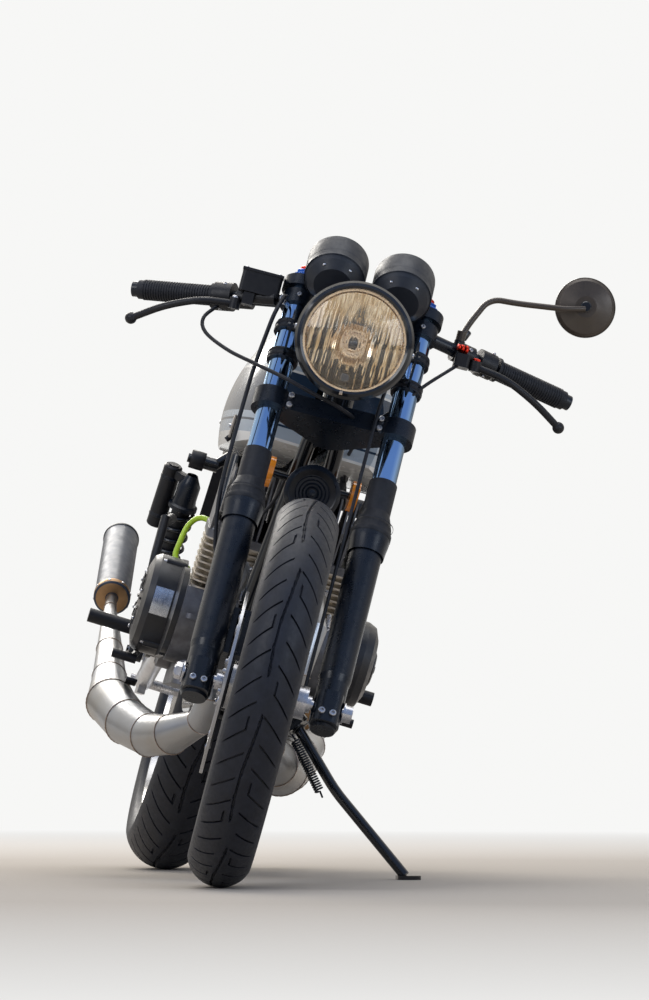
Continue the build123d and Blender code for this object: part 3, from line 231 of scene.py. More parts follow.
def ripples(bm, place, radii, half, rise, steps=48):
    """Round ridges about one centre."""
    for radius in radii:
        turned(bm, [(radius - half, 0), (radius, rise), (radius + half, 0)], place, steps)


def smooth_path(points, spacing):
    """Points along a curve through given places."""
    points = [Vector(point) for point in points]
    padded = [2 * points[0] - points[1]] + points + [2 * points[-1] - points[-2]]
    path = []
    for p0, p1, p2, p3 in zip(padded, padded[1:], padded[2:], padded[3:]):
        steps = max(2, int((p2 - p1).length / spacing))
        for i in range(steps):
            t = i / steps
            path.append(0.5 * (2 * p1 + (p2 - p0) * t + (2 * p0 - 5 * p1 + 4 * p2 - p3) * t ** 2
                               + (3 * p1 - p0 - 3 * p2 + p3) * t ** 3))
    return path + points[-1:]


Piece = namedtuple("Piece", "name finish slot sharp replaces", defaults=(32, ()))


def placed(name, data):
    """A new object in the scene."""
    obj = bpy.data.objects.new(name, data)
    bpy.context.scene.collection.objects.link(obj)
    return obj


def piece(bm, place, body, row):
    """Turns a bmesh into a piece with its finish; it rides on a body unless that is None."""
    bmesh.ops.recalc_face_normals(bm, faces=bm.faces)
    mesh = bpy.data.meshes.new(row.name)
    bm.to_mesh(mesh)
    bm.free()
    mesh.transform(place)
    mesh.shade_smooth()
    if row.sharp:
        mesh.set_sharp_from_angle(angle=radians(row.sharp))
    mesh.materials.append(FINISH[row.finish])
    obj = placed(row.name, mesh)
    if body:
        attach(obj, body)
    if row.replaces:
        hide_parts(*row.replaces)
    return obj


def make(build, place, body, *rows):
    """Lets a function fill one mesh for each row of Piece, and turns them into pieces."""
    meshes = [bmesh.new() for _ in rows]
    build(*meshes)
    return [piece(bm, place, body, Piece(*row)) for bm, row in zip(meshes, rows)]


# Materials: node helpers, where an input is a value or another node's output

def feed(tree, socket, value):
    if isinstance(value, bpy.types.NodeSocket):
        tree.links.new(value, socket)
    else:
        socket.default_value = value


def node(tree, kind, *values, operation=None, **named):
    """A node with its first inputs fed in order, and others by name."""
    made = tree.nodes.new("ShaderNode" + kind)
    if operation:
        made.operation = operation
    for socket, value in zip(made.inputs, values):
        feed(tree, socket, value)
    for name, value in named.items():
        feed(tree, made.inputs[name.replace("_", " ")], value)
    return made


def mixed(tree, low, high, factor, blend="MIX"):
    """Mixes two colours."""
    made = tree.nodes.new("ShaderNodeMix")
    made.data_type = "RGBA"
    made.blend_type = blend
    for name, value in (("A", low), ("B", high), ("Factor", factor)):
        feed(tree, made.inputs[name], (*value, 1) if isinstance(value, tuple) else value)
    return made.outputs["Result"]


def shader(name, color, metallic=0.0, roughness=0.5, **sockets):
    """A material with one surface shader."""
    mat = bpy.data.materials.new(name)
    mat.use_nodes = True
    surface = mat.node_tree.nodes["Principled BSDF"]
    sockets |= {"Base_Color": (*color, 1), "Metallic": metallic, "Roughness": roughness}
    for socket, value in sockets.items():
        surface.inputs[socket.replace("_", " ")].default_value = value
    return mat, mat.node_tree, surface.inputs


def coordinates(tree, scale=(1, 1, 1)):
    """Object coordinates in metres, stretched."""
    return node(tree, "Mapping", Vector=node(tree, "TexCoord").outputs["Object"], Scale=scale).outputs[0]


def local_coordinates(tree, place):
    """Object coordinates carried into a place's own millimetres, as separate values."""
    source = node(tree, "TexCoord").outputs["Object"]
    values = []
    for row in list(place.inverted())[:3]:
        dot = node(tree, "VectorMath", source, row[:3], operation="DOT_PRODUCT")
        values.append(node(tree, "Math", dot.outputs["Value"], row[3], operation="ADD").outputs[0])
    return values


def gathered(tree, values, scales):
    """One vector from three values, each with its own scale."""
    scaled = [node(tree, "Math", value, scale, operation="MULTIPLY").outputs[0]
              for value, scale in zip(values, scales)]
    return node(tree, "CombineXYZ", *scaled).outputs[0]


def cloud(tree, vector, scale, detail=3.0):
    return node(tree, "TexNoise", Vector=vector, Scale=scale, Detail=detail, Roughness=0.55).outputs["Fac"]


def spread(tree, value, low, high, span=(0.3, 0.7)):
    """Maps a noise value onto a range."""
    return node(tree, "MapRange", Value=value, From_Min=span[0], From_Max=span[1],
                To_Min=low, To_Max=high).outputs["Result"]


def bumped(tree, surface, value, strength, distance):
    bump = node(tree, "Bump", Height=value, Strength=strength, Distance=distance)
    tree.links.new(bump.outputs["Normal"], surface["Normal"])


def shade(color, factor):
    return tuple(min(1.0, channel * factor) for channel in color)


Finish = namedtuple("Finish", "color metallic roughness vary scale rough_vary grain grain_scale sockets",
                    defaults=(0.08, 0, 900, {}))


def finish(name, row):
    """A surface with drifting colour and gloss, and an optional fine grain."""
    mat, tree, surface = shader(name, row.color, row.metallic, row.roughness, **row.sockets)
    vector = coordinates(tree)
    drift = spread(tree, cloud(tree, vector, row.scale), 0, 1)
    low, high = row.roughness - row.rough_vary, row.roughness + row.rough_vary
    dark, light = shade(row.color, 1 - row.vary), shade(row.color, 1 + row.vary)
    feed(tree, surface["Base Color"], mixed(tree, dark, light, drift))
    feed(tree, surface["Roughness"], spread(tree, cloud(tree, vector, row.scale * 3), low, high))
    if row.grain:
        bumped(tree, surface, cloud(tree, vector, row.grain_scale), row.grain, 0.0003)
    return mat


def brushed(name, color, warm, roughness, stretch):
    """Metal drawn in one direction, drifting towards a warmer tone."""
    mat, tree, surface = shader(name, color, 1.0, roughness)
    lines = cloud(tree, coordinates(tree, stretch), 160, detail=5)
    drift = spread(tree, cloud(tree, coordinates(tree), 9), 0, 1)
    feed(tree, surface["Roughness"], spread(tree, lines, roughness - 0.1, roughness + 0.12))
    toned = tuple(channel * factor for channel, factor in zip(color, warm))
    feed(tree, surface["Base Color"], mixed(tree, toned, shade(color, 1.08), drift))
    bumped(tree, surface, lines, 0.12, 0.0002)
    return mat


def glass(name, color):
    mat, tree, surface = shader(name, color, 0.0, 0.0, Transmission_Weight=1.0, IOR=1.46)
    feed(tree, surface["Roughness"], spread(tree, cloud(tree, coordinates(tree), 25), 0, 0.03))
    return mat


def stepped(tree, value, steps):
    """Colours in level bands: (height, colour) from below upwards."""
    low, high = steps[0][0] - 1, steps[-1][0] + 1
    made = node(tree, "ValToRGB", Fac=spread(tree, value, 0, 1, (low, high)))
    ramp = made.color_ramp
    ramp.interpolation = "CONSTANT"
    ramp.elements.remove(ramp.elements[1])
    for index, (height, color) in enumerate(steps):
        spot = (height - low) / (high - low)
        element = ramp.elements.new(spot) if index else ramp.elements[0]
        element.position = spot
        element.color = (*color, 1)
    return made.outputs["Color"]


PEARL = (0.70, 0.69, 0.66)
PEARL_COAT = {"Coat_Weight": 0.8, "Coat_Roughness": 0.06}
PANEL_BLUE = (0.012, 0.03, 0.062)
SILVER_BLUE = (0.36, 0.42, 0.48)
TANK_BANDS = (
    (0, PEARL), (744, SILVER_BLUE), (764, PANEL_BLUE), (769, SILVER_BLUE), (778, PANEL_BLUE),
    (858, PEARL), (864, SILVER_BLUE), (868, PEARL), (1000, PEARL),
)


def tank_paint():
    """Pearl paint with a dark side panel between pinstripes, level with the machine."""
    mat, tree, surface = shader("tank_paint", PEARL, 0.0, 0.25, **PEARL_COAT)
    feed(tree, surface["Base Color"], stepped(tree, local_coordinates(tree, CHASSIS)[2], TANK_BANDS))
    feed(tree, surface["Roughness"], spread(tree, cloud(tree, coordinates(tree), 30), 0.2, 0.3))
    return mat


def reflection_painted_bowl():
    """Bright reflector whose colour carries painted reflections of sand, straw and sky in upright strips."""
    mat, tree, surface = shader("lamp_bowl", (0.8, 0.76, 0.66), 1.0, 0.12)
    down, across, ahead = local_coordinates(tree, LAMP)
    strips = cloud(tree, gathered(tree, (across, down, ahead), (0.34, 0.03, 0.02)), 1.0, detail=2)
    fine = cloud(tree, gathered(tree, (across, down, ahead), (1.1, 0.05, 0.02)), 1.0, detail=2)
    # Painted reflections: strips from sand to pale straw, with finer grey-to-white streaks multiplied over
    # them.
    painted_sand_reflection = mixed(tree, (0.70, 0.56, 0.36), (1.0, 0.96, 0.88), spread(tree, strips, 0, 1, (0.38, 0.62)))
    lines = mixed(tree, (0.62, 0.56, 0.48), (1, 1, 1), spread(tree, fine, 0, 1, (0.4, 0.6)))
    feed(tree, surface["Base Color"], mixed(tree, painted_sand_reflection, lines, 0.7, "MULTIPLY"))
    return mat


DULL = {"Specular_IOR_Level": 0.35}
SOFT = {"Specular_IOR_Level": 0.4}
LACQUER = {"Coat_Weight": 0.6}
GLOSS_COAT = {"Coat_Weight": 0.25, "Coat_Roughness": 0.05}
COVER_COAT = {"Coat_Weight": 0.2, "Coat_Roughness": 0.3}
FINISHES = {
    # The slight blue in the tyre, rubber and black colours is a painted reflection of the blue sky.
    "tyre": Finish((0.011, 0.013, 0.020), 0, 0.5, 0.25, 60, grain=0.25, grain_scale=1400, sockets=DULL),
    "rubber": Finish((0.008, 0.009, 0.013), 0, 0.55, 0.25, 60, grain=0.25, grain_scale=1400, sockets=DULL),
    "rim": Finish((0.50, 0.49, 0.48), 1, 0.24, 0.06, 12),
    "steel": Finish((0.56, 0.56, 0.58), 1, 0.3, 0.1, 50),
    # The stanchion colour's blue is a painted reflection of the blue sky.
    "stanchion": Finish((0.30, 0.47, 0.72), 1, 0.09, 0.05, 8, 0.03),
    "chrome": Finish((0.72, 0.73, 0.76), 1, 0.1, 0.05, 15, 0.04),
    "black": Finish((0.004, 0.007, 0.013), 0, 0.3, 0.2, 25, 0.06, 0.05, 500, SOFT),
    "gloss": Finish((0.005, 0.006, 0.008), 0, 0.16, 0.1, 20, 0.05, sockets=GLOSS_COAT),
    "satin": Finish((0.009, 0.009, 0.011), 0, 0.42, 0.2, 40, 0.08, 0.12, 1600, DULL),
    "cup": Finish((0.014, 0.017, 0.024), 0, 0.46, 0.15, 30, sockets=SOFT),
    "alloy": Finish((0.55, 0.56, 0.58), 1, 0.36, 0.1, 35, grain=0.04),
    "blue": Finish((0.03, 0.11, 0.42), 1, 0.28, 0.1, 60),
    "red": Finish((0.62, 0.04, 0.02), 1, 0.3, 0.1, 60),
    "cast": Finish((0.16, 0.16, 0.17), 1, 0.5, 0.25, 45, grain=0.35, grain_scale=700),
    "fins": Finish((0.50, 0.45, 0.38), 1, 0.42, 0.22, 30, grain=0.2, grain_scale=600),
    "cover": Finish((0.009, 0.009, 0.011), 0, 0.4, 0.2, 30, 0.1, 0.2, sockets=COVER_COAT),
    "filter": Finish((0.2, 0.2, 0.21), 0.7, 0.5, 0.3, 400, grain=0.6, grain_scale=1500),
    "can": Finish((0.035, 0.045, 0.065), 0.3, 0.42, 0.12, 25, grain=0.06),
    "bronze": Finish((0.34, 0.21, 0.11), 1, 0.36, 0.15, 60),
    "leather": Finish((0.03, 0.026, 0.024), 0, 0.5, 0.25, 40, grain=0.5, grain_scale=450, sockets=SOFT),
    "thread": Finish((0.25, 0.22, 0.18), 0, 0.8, 0.2, 300),
    "red_lens": Finish((0.35, 0.01, 0.01), 0, 0.12, 0.2, 60, sockets=LACQUER),
    "amber": Finish((0.8, 0.26, 0.02), 0, 0.15, 0.15, 80, sockets=LACQUER),
    "bulb": Finish((0.01, 0.016, 0.035), 0, 0.15, 0.1, 80, sockets=LACQUER),
    "lime": Finish((0.42, 0.62, 0.02), 0, 0.35, 0.15, 60, sockets={"Coat_Weight": 0.3}),
    "white": Finish(PEARL, 0, 0.25, 0.03, 10, sockets=PEARL_COAT),
    "chain": Finish((0.2, 0.18, 0.16), 1, 0.42, 0.3, 120),
    "mirror": Finish((0.85, 0.86, 0.88), 1, 0.03, 0.02, 4, 0.01),
    "warm_steel": Finish((0.66, 0.52, 0.38), 1, 0.3, 0.12, 60),
    "plate": Finish((0.62, 0.64, 0.68), 1, 0.25, 0.08, 60),
    "weld": Finish((0.34, 0.27, 0.22), 1, 0.42, 0.25, 150),
    "bronzed": Finish((0.06, 0.046, 0.034), 0.3, 0.36, 0.15, 20),
    "taupe": Finish((0.30, 0.26, 0.22), 0, 0.5, 0.1, 40),
    "dial": Finish((0.01, 0.01, 0.011), 0, 0.5, 0.1, 50),
    "print": Finish((0.8, 0.8, 0.78), 0, 0.5, 0.05, 80),
}
FINISH = {name: finish(name, row) for name, row in FINISHES.items()}
FINISH |= {
    "disc": brushed("disc", (0.5, 0.5, 0.51), (0.82, 0.82, 0.82), 0.32, (1, 30, 1)),
    "pipe": brushed("pipe", (0.38, 0.40, 0.43), (0.95, 0.86, 0.74), 0.36, (6, 60, 60)),
    "glass": glass("clear_glass", (0.97, 0.98, 1.0)),
    "lens": glass("lamp_glass", (1.0, 0.99, 0.97)),
    "bowl": reflection_painted_bowl(),
    "paint": tank_paint(),
}

NODE_FINISH = {
    "tyre": "front_tyre rear_tyre",
    "rim": "front_wheel rear_wheel",
    "disc": "front_disc rear_sprocket",
    "steel": "front_axle rear_axle",
    "stanchion": "fork_stanchions",
    "black": "fork_sliders lower_clamp top_clamp headlight_brackets gauge_bracket clip_ons "
             "front_caliper shocks",
    "rubber": "fork_boots grips brake_hose speedo_cable plug_caps",
    "blue": "fork_caps",
    "gloss": "headlight_shell frame side_stand",
    "satin": "master_cylinder switchgear clutch_perch levers plate_holder battery_box horn "
             "rear_sets kickstart",
    "bowl": "headlight_reflector",
    "glass": "headlight_lens",
    "cup": "gauges",
    "bronzed": "mirror",
    "alloy": "swingarm carburettors",
    "cast": "engine_cases heads",
    "fins": "barrels",
    "cover": "engine_covers",
    "filter": "air_filters",
    "pipe": "exhaust_chambers",
    "can": "silencers",
    "paint": "fuel_tank",
    "chrome": "tank_cap",
    "leather": "seat_pad",
    "white": "seat_cowl",
    "red_lens": "tail_lamp",
    "amber": "side_reflectors",
    "chain": "chain",
}


def dress_nodes():
    """Gives every carried-over solid its finish."""
    for key, names in NODE_FINISH.items():
        for name in names.split():
            materials = nodes[name].data.materials
            materials.clear()
            materials.append(FINISH[key])


# Tyres, one mesh each with its tread cut in, over the CAD's profile

Tyre = namedtuple("Tyre", "radius width crown rim_radius rim_width way")
FRONT_TYRE = Tyre(318.5, 100, 54, 229, 72, -1)
REAR_TYRE = Tyre(319.5, 130, 72, 229, 94, 1)
TREAD_PITCHES = 48
TREAD_DEPTH = 4.0
GROOVE_HALF = 1.6
GROOVE_WALL = 0.6
TREAD_FALL = 50
TREAD_HALF = 56.5
CROWN_HALF_ANGLE = radians(60)
FINE_STEP = 1.3
FINE_ROWS = 15
COARSE_ROWS = 11
LAND_STEPS = (6.5, 10.5, 14.6)
TREAD_INNER_ENDS = (15, 10, 12, 9)
TREAD_OUTER_END = 53
HOOK_LENGTH = 27
CENTRE_PITCHES = 6
CENTRE_GROOVE = ((20, -2), (66, -5), (112, -4), (158, 1), (206, 5))
WALL_RIDGES = (0, 0.7, 0.7, 0, 0, 0, 0, 0.6, 0.6, 0, 0, 0)


def distance_to_line(u, v, line):
    """Shortest way from a place to a run of straight pieces."""
    best = 1e9
    for (u0, v0), (u1, v1) in zip(line, line[1:]):
        du, dv = u1 - u0, v1 - v0
        t = max(0.0, min(1.0, ((u - u0) * du + (v - v0) * dv) / (du * du + dv * dv)))
        best = min(best, hypot(u - u0 - t * du, v - v0 - t * dv))
    return best


def tread_cut(u, v, pitch):
    """Depth of the tread at u along the tyre, measured from a chevron, and v across it."""
    shift = 0.5 if v < 0 else 0.0
    index = round(u / pitch - shift)
    off = u - (index + shift) * pitch
    groove = (index + (2 if v < 0 else 0)) % len(TREAD_INNER_ENDS)
    inner = TREAD_INNER_ENDS[groove]
    across = abs(v)
    if abs(off) < GROOVE_HALF and inner < across < TREAD_OUTER_END:
        return TREAD_DEPTH * min(1.0, (TREAD_OUTER_END - across) / 8)
    if groove == 0 and -GROOVE_HALF < off < HOOK_LENGTH and abs(across - inner) < GROOVE_HALF * 0.8:
        return TREAD_DEPTH * 0.8
    near = distance_to_line(u % (pitch * CENTRE_PITCHES), v, CENTRE_GROOVE)
    return TREAD_DEPTH if near < GROOVE_HALF else 0.0


def arc_through(first, middle, last, count):
    """Points on the circle through three places, the first left out, with their outward ways."""
    (ax, ay), (bx, by), (cx, cy) = first, middle, last
    a, b, c = (x * x + y * y for x, y in (first, middle, last))
    d = 2 * (ax * (by - cy) + bx * (cy - ay) + cx * (ay - by))
    ux = (a * (by - cy) + b * (cy - ay) + c * (ay - by)) / d
    uy = (a * (cx - bx) + b * (ax - cx) + c * (bx - ax)) / d
    start = atan2(ay - uy, ax - ux)
    end = atan2(cy - uy, cx - ux)
    radius = hypot(ax - ux, ay - uy)
    points = []
    for i in range(1, count + 1):
        angle = start + (end - start) * i / count
        points.append((ux + radius * cos(angle), uy + radius * sin(angle), cos(angle), sin(angle)))
    return points


def tyre_rows(size):
    """Rows across the tyre: (y, r), the way out, and the place across the tread or None beside it."""
    fine = [FINE_STEP * i for i in range(-FINE_ROWS, FINE_ROWS + 1)]
    coarse = [fine[-1] + (TREAD_HALF - fine[-1]) * i / COARSE_ROWS for i in range(1, COARSE_ROWS + 1)]
    rows = []
    for v in [-v for v in reversed(coarse)] + fine + coarse:
        angle = CROWN_HALF_ANGLE * v / TREAD_HALF
        ny, nr = sin(angle), cos(angle)
        rows.append((size.crown * ny, size.radius - size.crown + size.crown * nr, ny, nr, v))
    edge = rows[-1][:2]
    flange = (size.rim_width / 2 - 0.3, size.rim_radius + 15)
    bulge = (size.width / 2, (edge[1] + flange[1]) / 2)
    wall = arc_through(edge, bulge, flange, len(WALL_RIDGES))
    right = [(y + ny * up, r + nr * up, ny, nr, None) for (y, r, ny, nr), up in zip(wall, WALL_RIDGES)]
    right.append((flange[0], size.rim_radius + 0.3, 1, 0, None))
    left = [(-y, r, -ny, nr, None) for y, r, ny, nr, _ in reversed(right)]
    return left + rows + right


def tyre(bm, size):
    pitch = tau * size.radius / TREAD_PITCHES
    wall = GROOVE_HALF + GROOVE_WALL
    steps = [-wall, -GROOVE_HALF + 0.1, GROOVE_HALF - 0.1, wall, *LAND_STEPS]
    steps += [pitch / 2 + step for step in steps]
    rings = []
    for y, r, ny, nr, v in tyre_rows(size):
        lean = TREAD_FALL * min(1.0, abs(TREAD_HALF if v is None else v) / TREAD_HALF) ** 1.15
        ring = []
        for u in [k * pitch + step for k in range(TREAD_PITCHES) for step in steps]:
            cut = 0.0 if v is None else tread_cut(u, v, pitch)
            angle = (u + size.way * lean) / size.radius
            radius = r - cut * nr
            ring.append(bm.verts.new((radius * cos(angle), y - cut * ny, radius * sin(angle))))
        rings.append(ring)
    skin(bm, rings + rings[:1])


# Wheels' small parts

SPOKE_PAIRS = 18
SPOKE_CROSSING = 26
Hub = namedtuple("Hub", "flange_radius flange_y")
FRONT_HUB = Hub(58, 30)
REAR_HUB = Hub(88, 34)
WELL_RADIUS = 208
DISC_Y = -64


def spoke_ends(hub):
    """Both ends of every spoke, as the CAD lays them out."""
    step = 360 / SPOKE_PAIRS
    for index in range(SPOKE_PAIRS):
        for side in SIDES:
            angle = index * step + side * step / 4
            x, z = polar(hub.flange_radius, angle)
            rim_x, rim_z = polar(WELL_RADIUS, angle + SPOKE_CROSSING * (1 if index % 2 else -1))
            yield Vector((x, side * hub.flange_y, z)), Vector((rim_x, side * 6, rim_z))


def nipples_and_valve(bm, hub):
    for inner, outer in spoke_ends(hub):
        way = (outer - inner).normalized()
        turned(bm, [(0, 0), (2.6, 0), (3.0, 1), (3.0, 11), (4.2, 12), (4.2, 17), (0, 17)],
               along(outer - way * 15, outer), 10)
        turned(bm, [(0, 0), (3.4, 0), (3.4, 2.5), (2.2, 4), (0, 4)], along(inner - way * 1.5, outer), 10)
    turned(bm, [(0, 0), (2.6, 0), (2.9, 1), (2.9, 12), (3.6, 12), (3.6, 13), (2.6, 13), (2.6, 32), (0, 32)],
           turn("Y", -62) @ at(WELL_RADIUS - 30, 0, 0) @ FORWARD, 14)


def drilled_plate(bm, rims, holes, thickness, place):
    """A flat plate in XY between two circles, drilled with round holes: (x, y, radius)."""
    curve = bpy.data.curves.new("plate", "CURVE")
    curve.dimensions = "2D"
    curve.fill_mode = "BOTH"
    curve.extrude = thickness / 2
    curve.bevel_depth = 0.25
    curve.bevel_resolution = 0
    for (x, y, radius), steps in [((0, 0, rim), 96) for rim in rims] + [(hole, 14) for hole in holes]:
        spline = curve.splines.new("POLY")
        spline.points.add(steps - 1)
        spline.use_cyclic_u = True
        for i, point in enumerate(spline.points):
            angle = tau * i / steps
            point.co = (x + radius * cos(angle), y + radius * sin(angle), 0, 1)
    obj = bpy.data.objects.new("plate", curve)
    mesh = bpy.data.meshes.new_from_object(obj)
    mesh.transform(place)
    bm.from_mesh(mesh)
    bpy.data.meshes.remove(mesh)
    bpy.data.objects.remove(obj)
    bpy.data.curves.remove(curve)


def front_disc(rotor, carrier, bolts):
    """Drilled rotor on a windowed carrier, with its buttons and bolts."""
    holes = [(*polar(radius, 15 * (ray + 0.18 * step)), 3.4) for ray in range(24)
             for step, radius in enumerate((111, 121, 131, 141)) if (ray + step) % 2 == 0]
    drilled_plate(rotor, (149, 104), holes, 4.4, at(0, DISC_Y, 0) @ RIGHTWARD)
    middle = at(0, DISC_Y + 2.5, 0) @ RIGHTWARD
    drilled_plate(carrier, (108, 30), [(*spot, 18) for spot in around(70, range(0, 360, 60))], 4.6, middle)
    turned(carrier, [(9.8, -5), (39, -5), (40, -4), (40, 4), (39, 5), (9.8, 5)], middle)
    for x, z in around(106, range(18, 360, 36)):
        turned(bolts, [(0, 0.6), (3, 0.6), (3, 0), (6.6, 0), (6.6, -6), (0, -6)],
               at(x, DISC_Y - 3.4, z) @ RIGHTWARD, 20)
    for x, z in around(33, range(30, 360, 60)):
        cap_screw(bolts, at(x, DISC_Y - 2.6, z) @ RIGHTWARD, 10, 5)


# Headlamp: fluted lens over a bright bowl, bulb socket, position lamp and rims

LENS_RADIUS = 84.2
LENS_FRONT = 45
LENS_DOME = 17
LENS_THICK = 3.2
FLUTE = 6.7
FLUTE_SHIFT = 2.2
FLUTE_DEPTHS = (0.22, 0.5, 0.22, 0.5, 0.22)
LENS_BANDS = (38, 4, -30, -52)
LENS_COLUMNS = 200
LENS_ROWS = 44
BOWL_RADIUS = 78.5
BOWL_MOUTH = 22
BOWL_BOTTOM = -44
BOWL_DEPTH = 62
BOWL_STRIP = 13.4
STRIP_RELIEF = 2.4
LOWER_RELIEF = 1.6
BOWL_RINGS = 40
BOWL_STEPS = 144


def fluted_lens(bm):
    """Round glass, domed in front; the upright flutes behind it shift at each level band."""
    sheets = []
    for behind in (False, True):
        columns = []
        for i in range(LENS_COLUMNS + 1):
            y = LENS_RADIUS * 0.999 * (2 * i / LENS_COLUMNS - 1)
            reach = sqrt(LENS_RADIUS ** 2 - y * y)
            column = []
            for k in range(LENS_ROWS + 1):
                z = reach * (2 * k / LENS_ROWS - 1)
                depth = LENS_FRONT - LENS_DOME * min(1.0, hypot(y, z) / LENS_RADIUS) ** 2.2
                if behind:
                    level = sum(z < edge for edge in LENS_BANDS)
                    wave = abs(sin(pi * (y + FLUTE_SHIFT * level) / FLUTE))
                    depth -= LENS_THICK - FLUTE_DEPTHS[level] * wave
                column.append(bm.verts.new((-z, y, depth)))
            columns.append(column)
        skin(bm, columns, closed=False)
        border = [column[0] for column in columns] + columns[-1][1:]
        sheets.append(border + [column[-1] for column in reversed(columns[:-1])] + columns[0][-2:0:-1])
    skin(bm, sheets)


def faceted_bowl(bm):
    """Reflector whose bright surface is cut in upright strips."""
    grid = []
    for i in range(BOWL_RINGS + 1):
        radius = BOWL_MOUTH + (BOWL_RADIUS - BOWL_MOUTH) * i / BOWL_RINGS
        depth = BOWL_BOTTOM + BOWL_DEPTH * (radius / BOWL_RADIUS) ** 2
        ring = []
        for k in range(BOWL_STEPS):
            y, z = polar(radius, 360 * k / BOWL_STEPS)
            strip = (y / BOWL_STRIP) % 1.0 - 0.5
            relief = STRIP_RELIEF * (1 if z > 0 else LOWER_RELIEF)
            ring.append(bm.verts.new((-z, y, depth + relief * strip * strip)))
        grid.append(ring)
    skin(bm, grid)
    turned(bm, [(BOWL_RADIUS, 18), (79, 20), (79, 12), (60, -14), (30, -40), (BOWL_MOUTH, BOWL_BOTTOM)],
           steps=BOWL_STEPS)


def headlamp(lens, bowl, socket, bulbs, ring, screws):
    """Lens, bowl with the bulb's socket, both bulbs, the ring's inner lip and the shell's screws."""
    fluted_lens(lens)
    faceted_bowl(bowl)
    turned(socket, [(24, -42), (24, -30), (21.5, -27), (19.5, -27), (18, -31), (14, -32), (12.5, -29),
                    (10, -29), (8.5, -33), (8.5, -46), (24, -46), (24, -42)], steps=64)
    turned(bulbs, [(0, -46), (8.4, -46), (8.4, -22), (6.5, -17), (3.5, -15), (0, -14.5)], steps=40)
    turned(bulbs, [(0, -32), (8, -32), (8, 5), (6.6, 7.5), (0, 8)], at(60, 0, 0), 40)
    turned(ring, [(78.6, 19.6), (80.4, 24.3), (LENS_RADIUS, 24.4)], steps=128)
    block(ring, (6, 5, 2.4), at(89, 0, 35.4), 0.5)
    for angle in (90, 270):
        turned(screws, [(4.6, 0), (4.6, 2.4), (3.8, 3), (0, 3)],
               turn("Z", angle) @ at(97, 0, 20) @ FORWARD, 20)
    turned(screws, [(0, -90), (9, -90), (11, -88.4), (0, -88.4)], steps=32)


# Instruments

GAUGE_SPACING = 113
GAUGE_X = 411.64
GAUGE_Z = 1027.89
GAUGE_LEAN = -52
STROKES = {
    "0": ((0, 0, 1, 0), (1, 0, 1, 2), (1, 2, 0, 2), (0, 2, 0, 0)),
    "1": ((0.5, 0, 0.5, 2), (0.5, 2, 0.15, 1.6)),
    "2": ((0, 2, 1, 2), (1, 2, 1, 1), (1, 1, 0, 1), (0, 1, 0, 0), (0, 0, 1, 0)),
    "3": ((0, 2, 1, 2), (1, 2, 1, 0), (0, 1, 1, 1), (0, 0, 1, 0)),
    "4": ((0, 2, 0, 1), (0, 1, 1, 1), (1, 2, 1, 0)),
    "5": ((1, 2, 0, 2), (0, 2, 0, 1), (0, 1, 1, 1), (1, 1, 1, 0), (1, 0, 0, 0)),
    "6": ((1, 2, 0, 2), (0, 2, 0, 0), (0, 0, 1, 0), (1, 0, 1, 1), (1, 1, 0, 1)),
    "7": ((0, 2, 1, 2), (1, 2, 0.4, 0)),
    "8": ((0, 0, 1, 0), (1, 0, 1, 2), (1, 2, 0, 2), (0, 2, 0, 0), (0, 1, 1, 1)),
    "9": ((1, 1, 0, 1), (0, 1, 0, 2), (0, 2, 1, 2), (1, 2, 1, 0), (1, 0, 0, 0)),
}
DIAL_FACE = 27.4
DIAL_START = 225
DIAL_SWEEP = 270
TICK_END = 42.5
FIGURE_RADIUS = 31
FIGURE_SIZE = 5.5


def bar_between(bm, start, end, width, height, place):
    """A flat printed stroke between two places on a dial."""
    way = end - start
    spot = place @ at(*(start + end) / 2, height) @ Matrix.Rotation(atan2(way.y, way.x), 4, "Z")
    block(bm, (way.length + width * 0.6, width, 0.35), spot, 0)


def number_print(bm, text, middle, place):
    """Plain figures from straight strokes, centred on a place; up on the dial is -X."""
    width = FIGURE_SIZE * 0.55
    start = -(len(text) * width * 1.5 - width * 0.5) / 2
    for index, figure in enumerate(text):
        for x0, y0, x1, y1 in STROKES[figure]:
            ends = [middle + Vector(((1 - v) * FIGURE_SIZE / 2, start + (index * 1.5 + u) * width))
                    for u, v in ((x0, y0), (x1, y1))]
            bar_between(bm, *ends, FIGURE_SIZE * 0.13, DIAL_FACE, place)


def dial_way(degrees):
    """The way from a dial's middle to a place on its scale."""
    angle = radians(DIAL_START - degrees)
    return Vector((-sin(angle), cos(angle)))


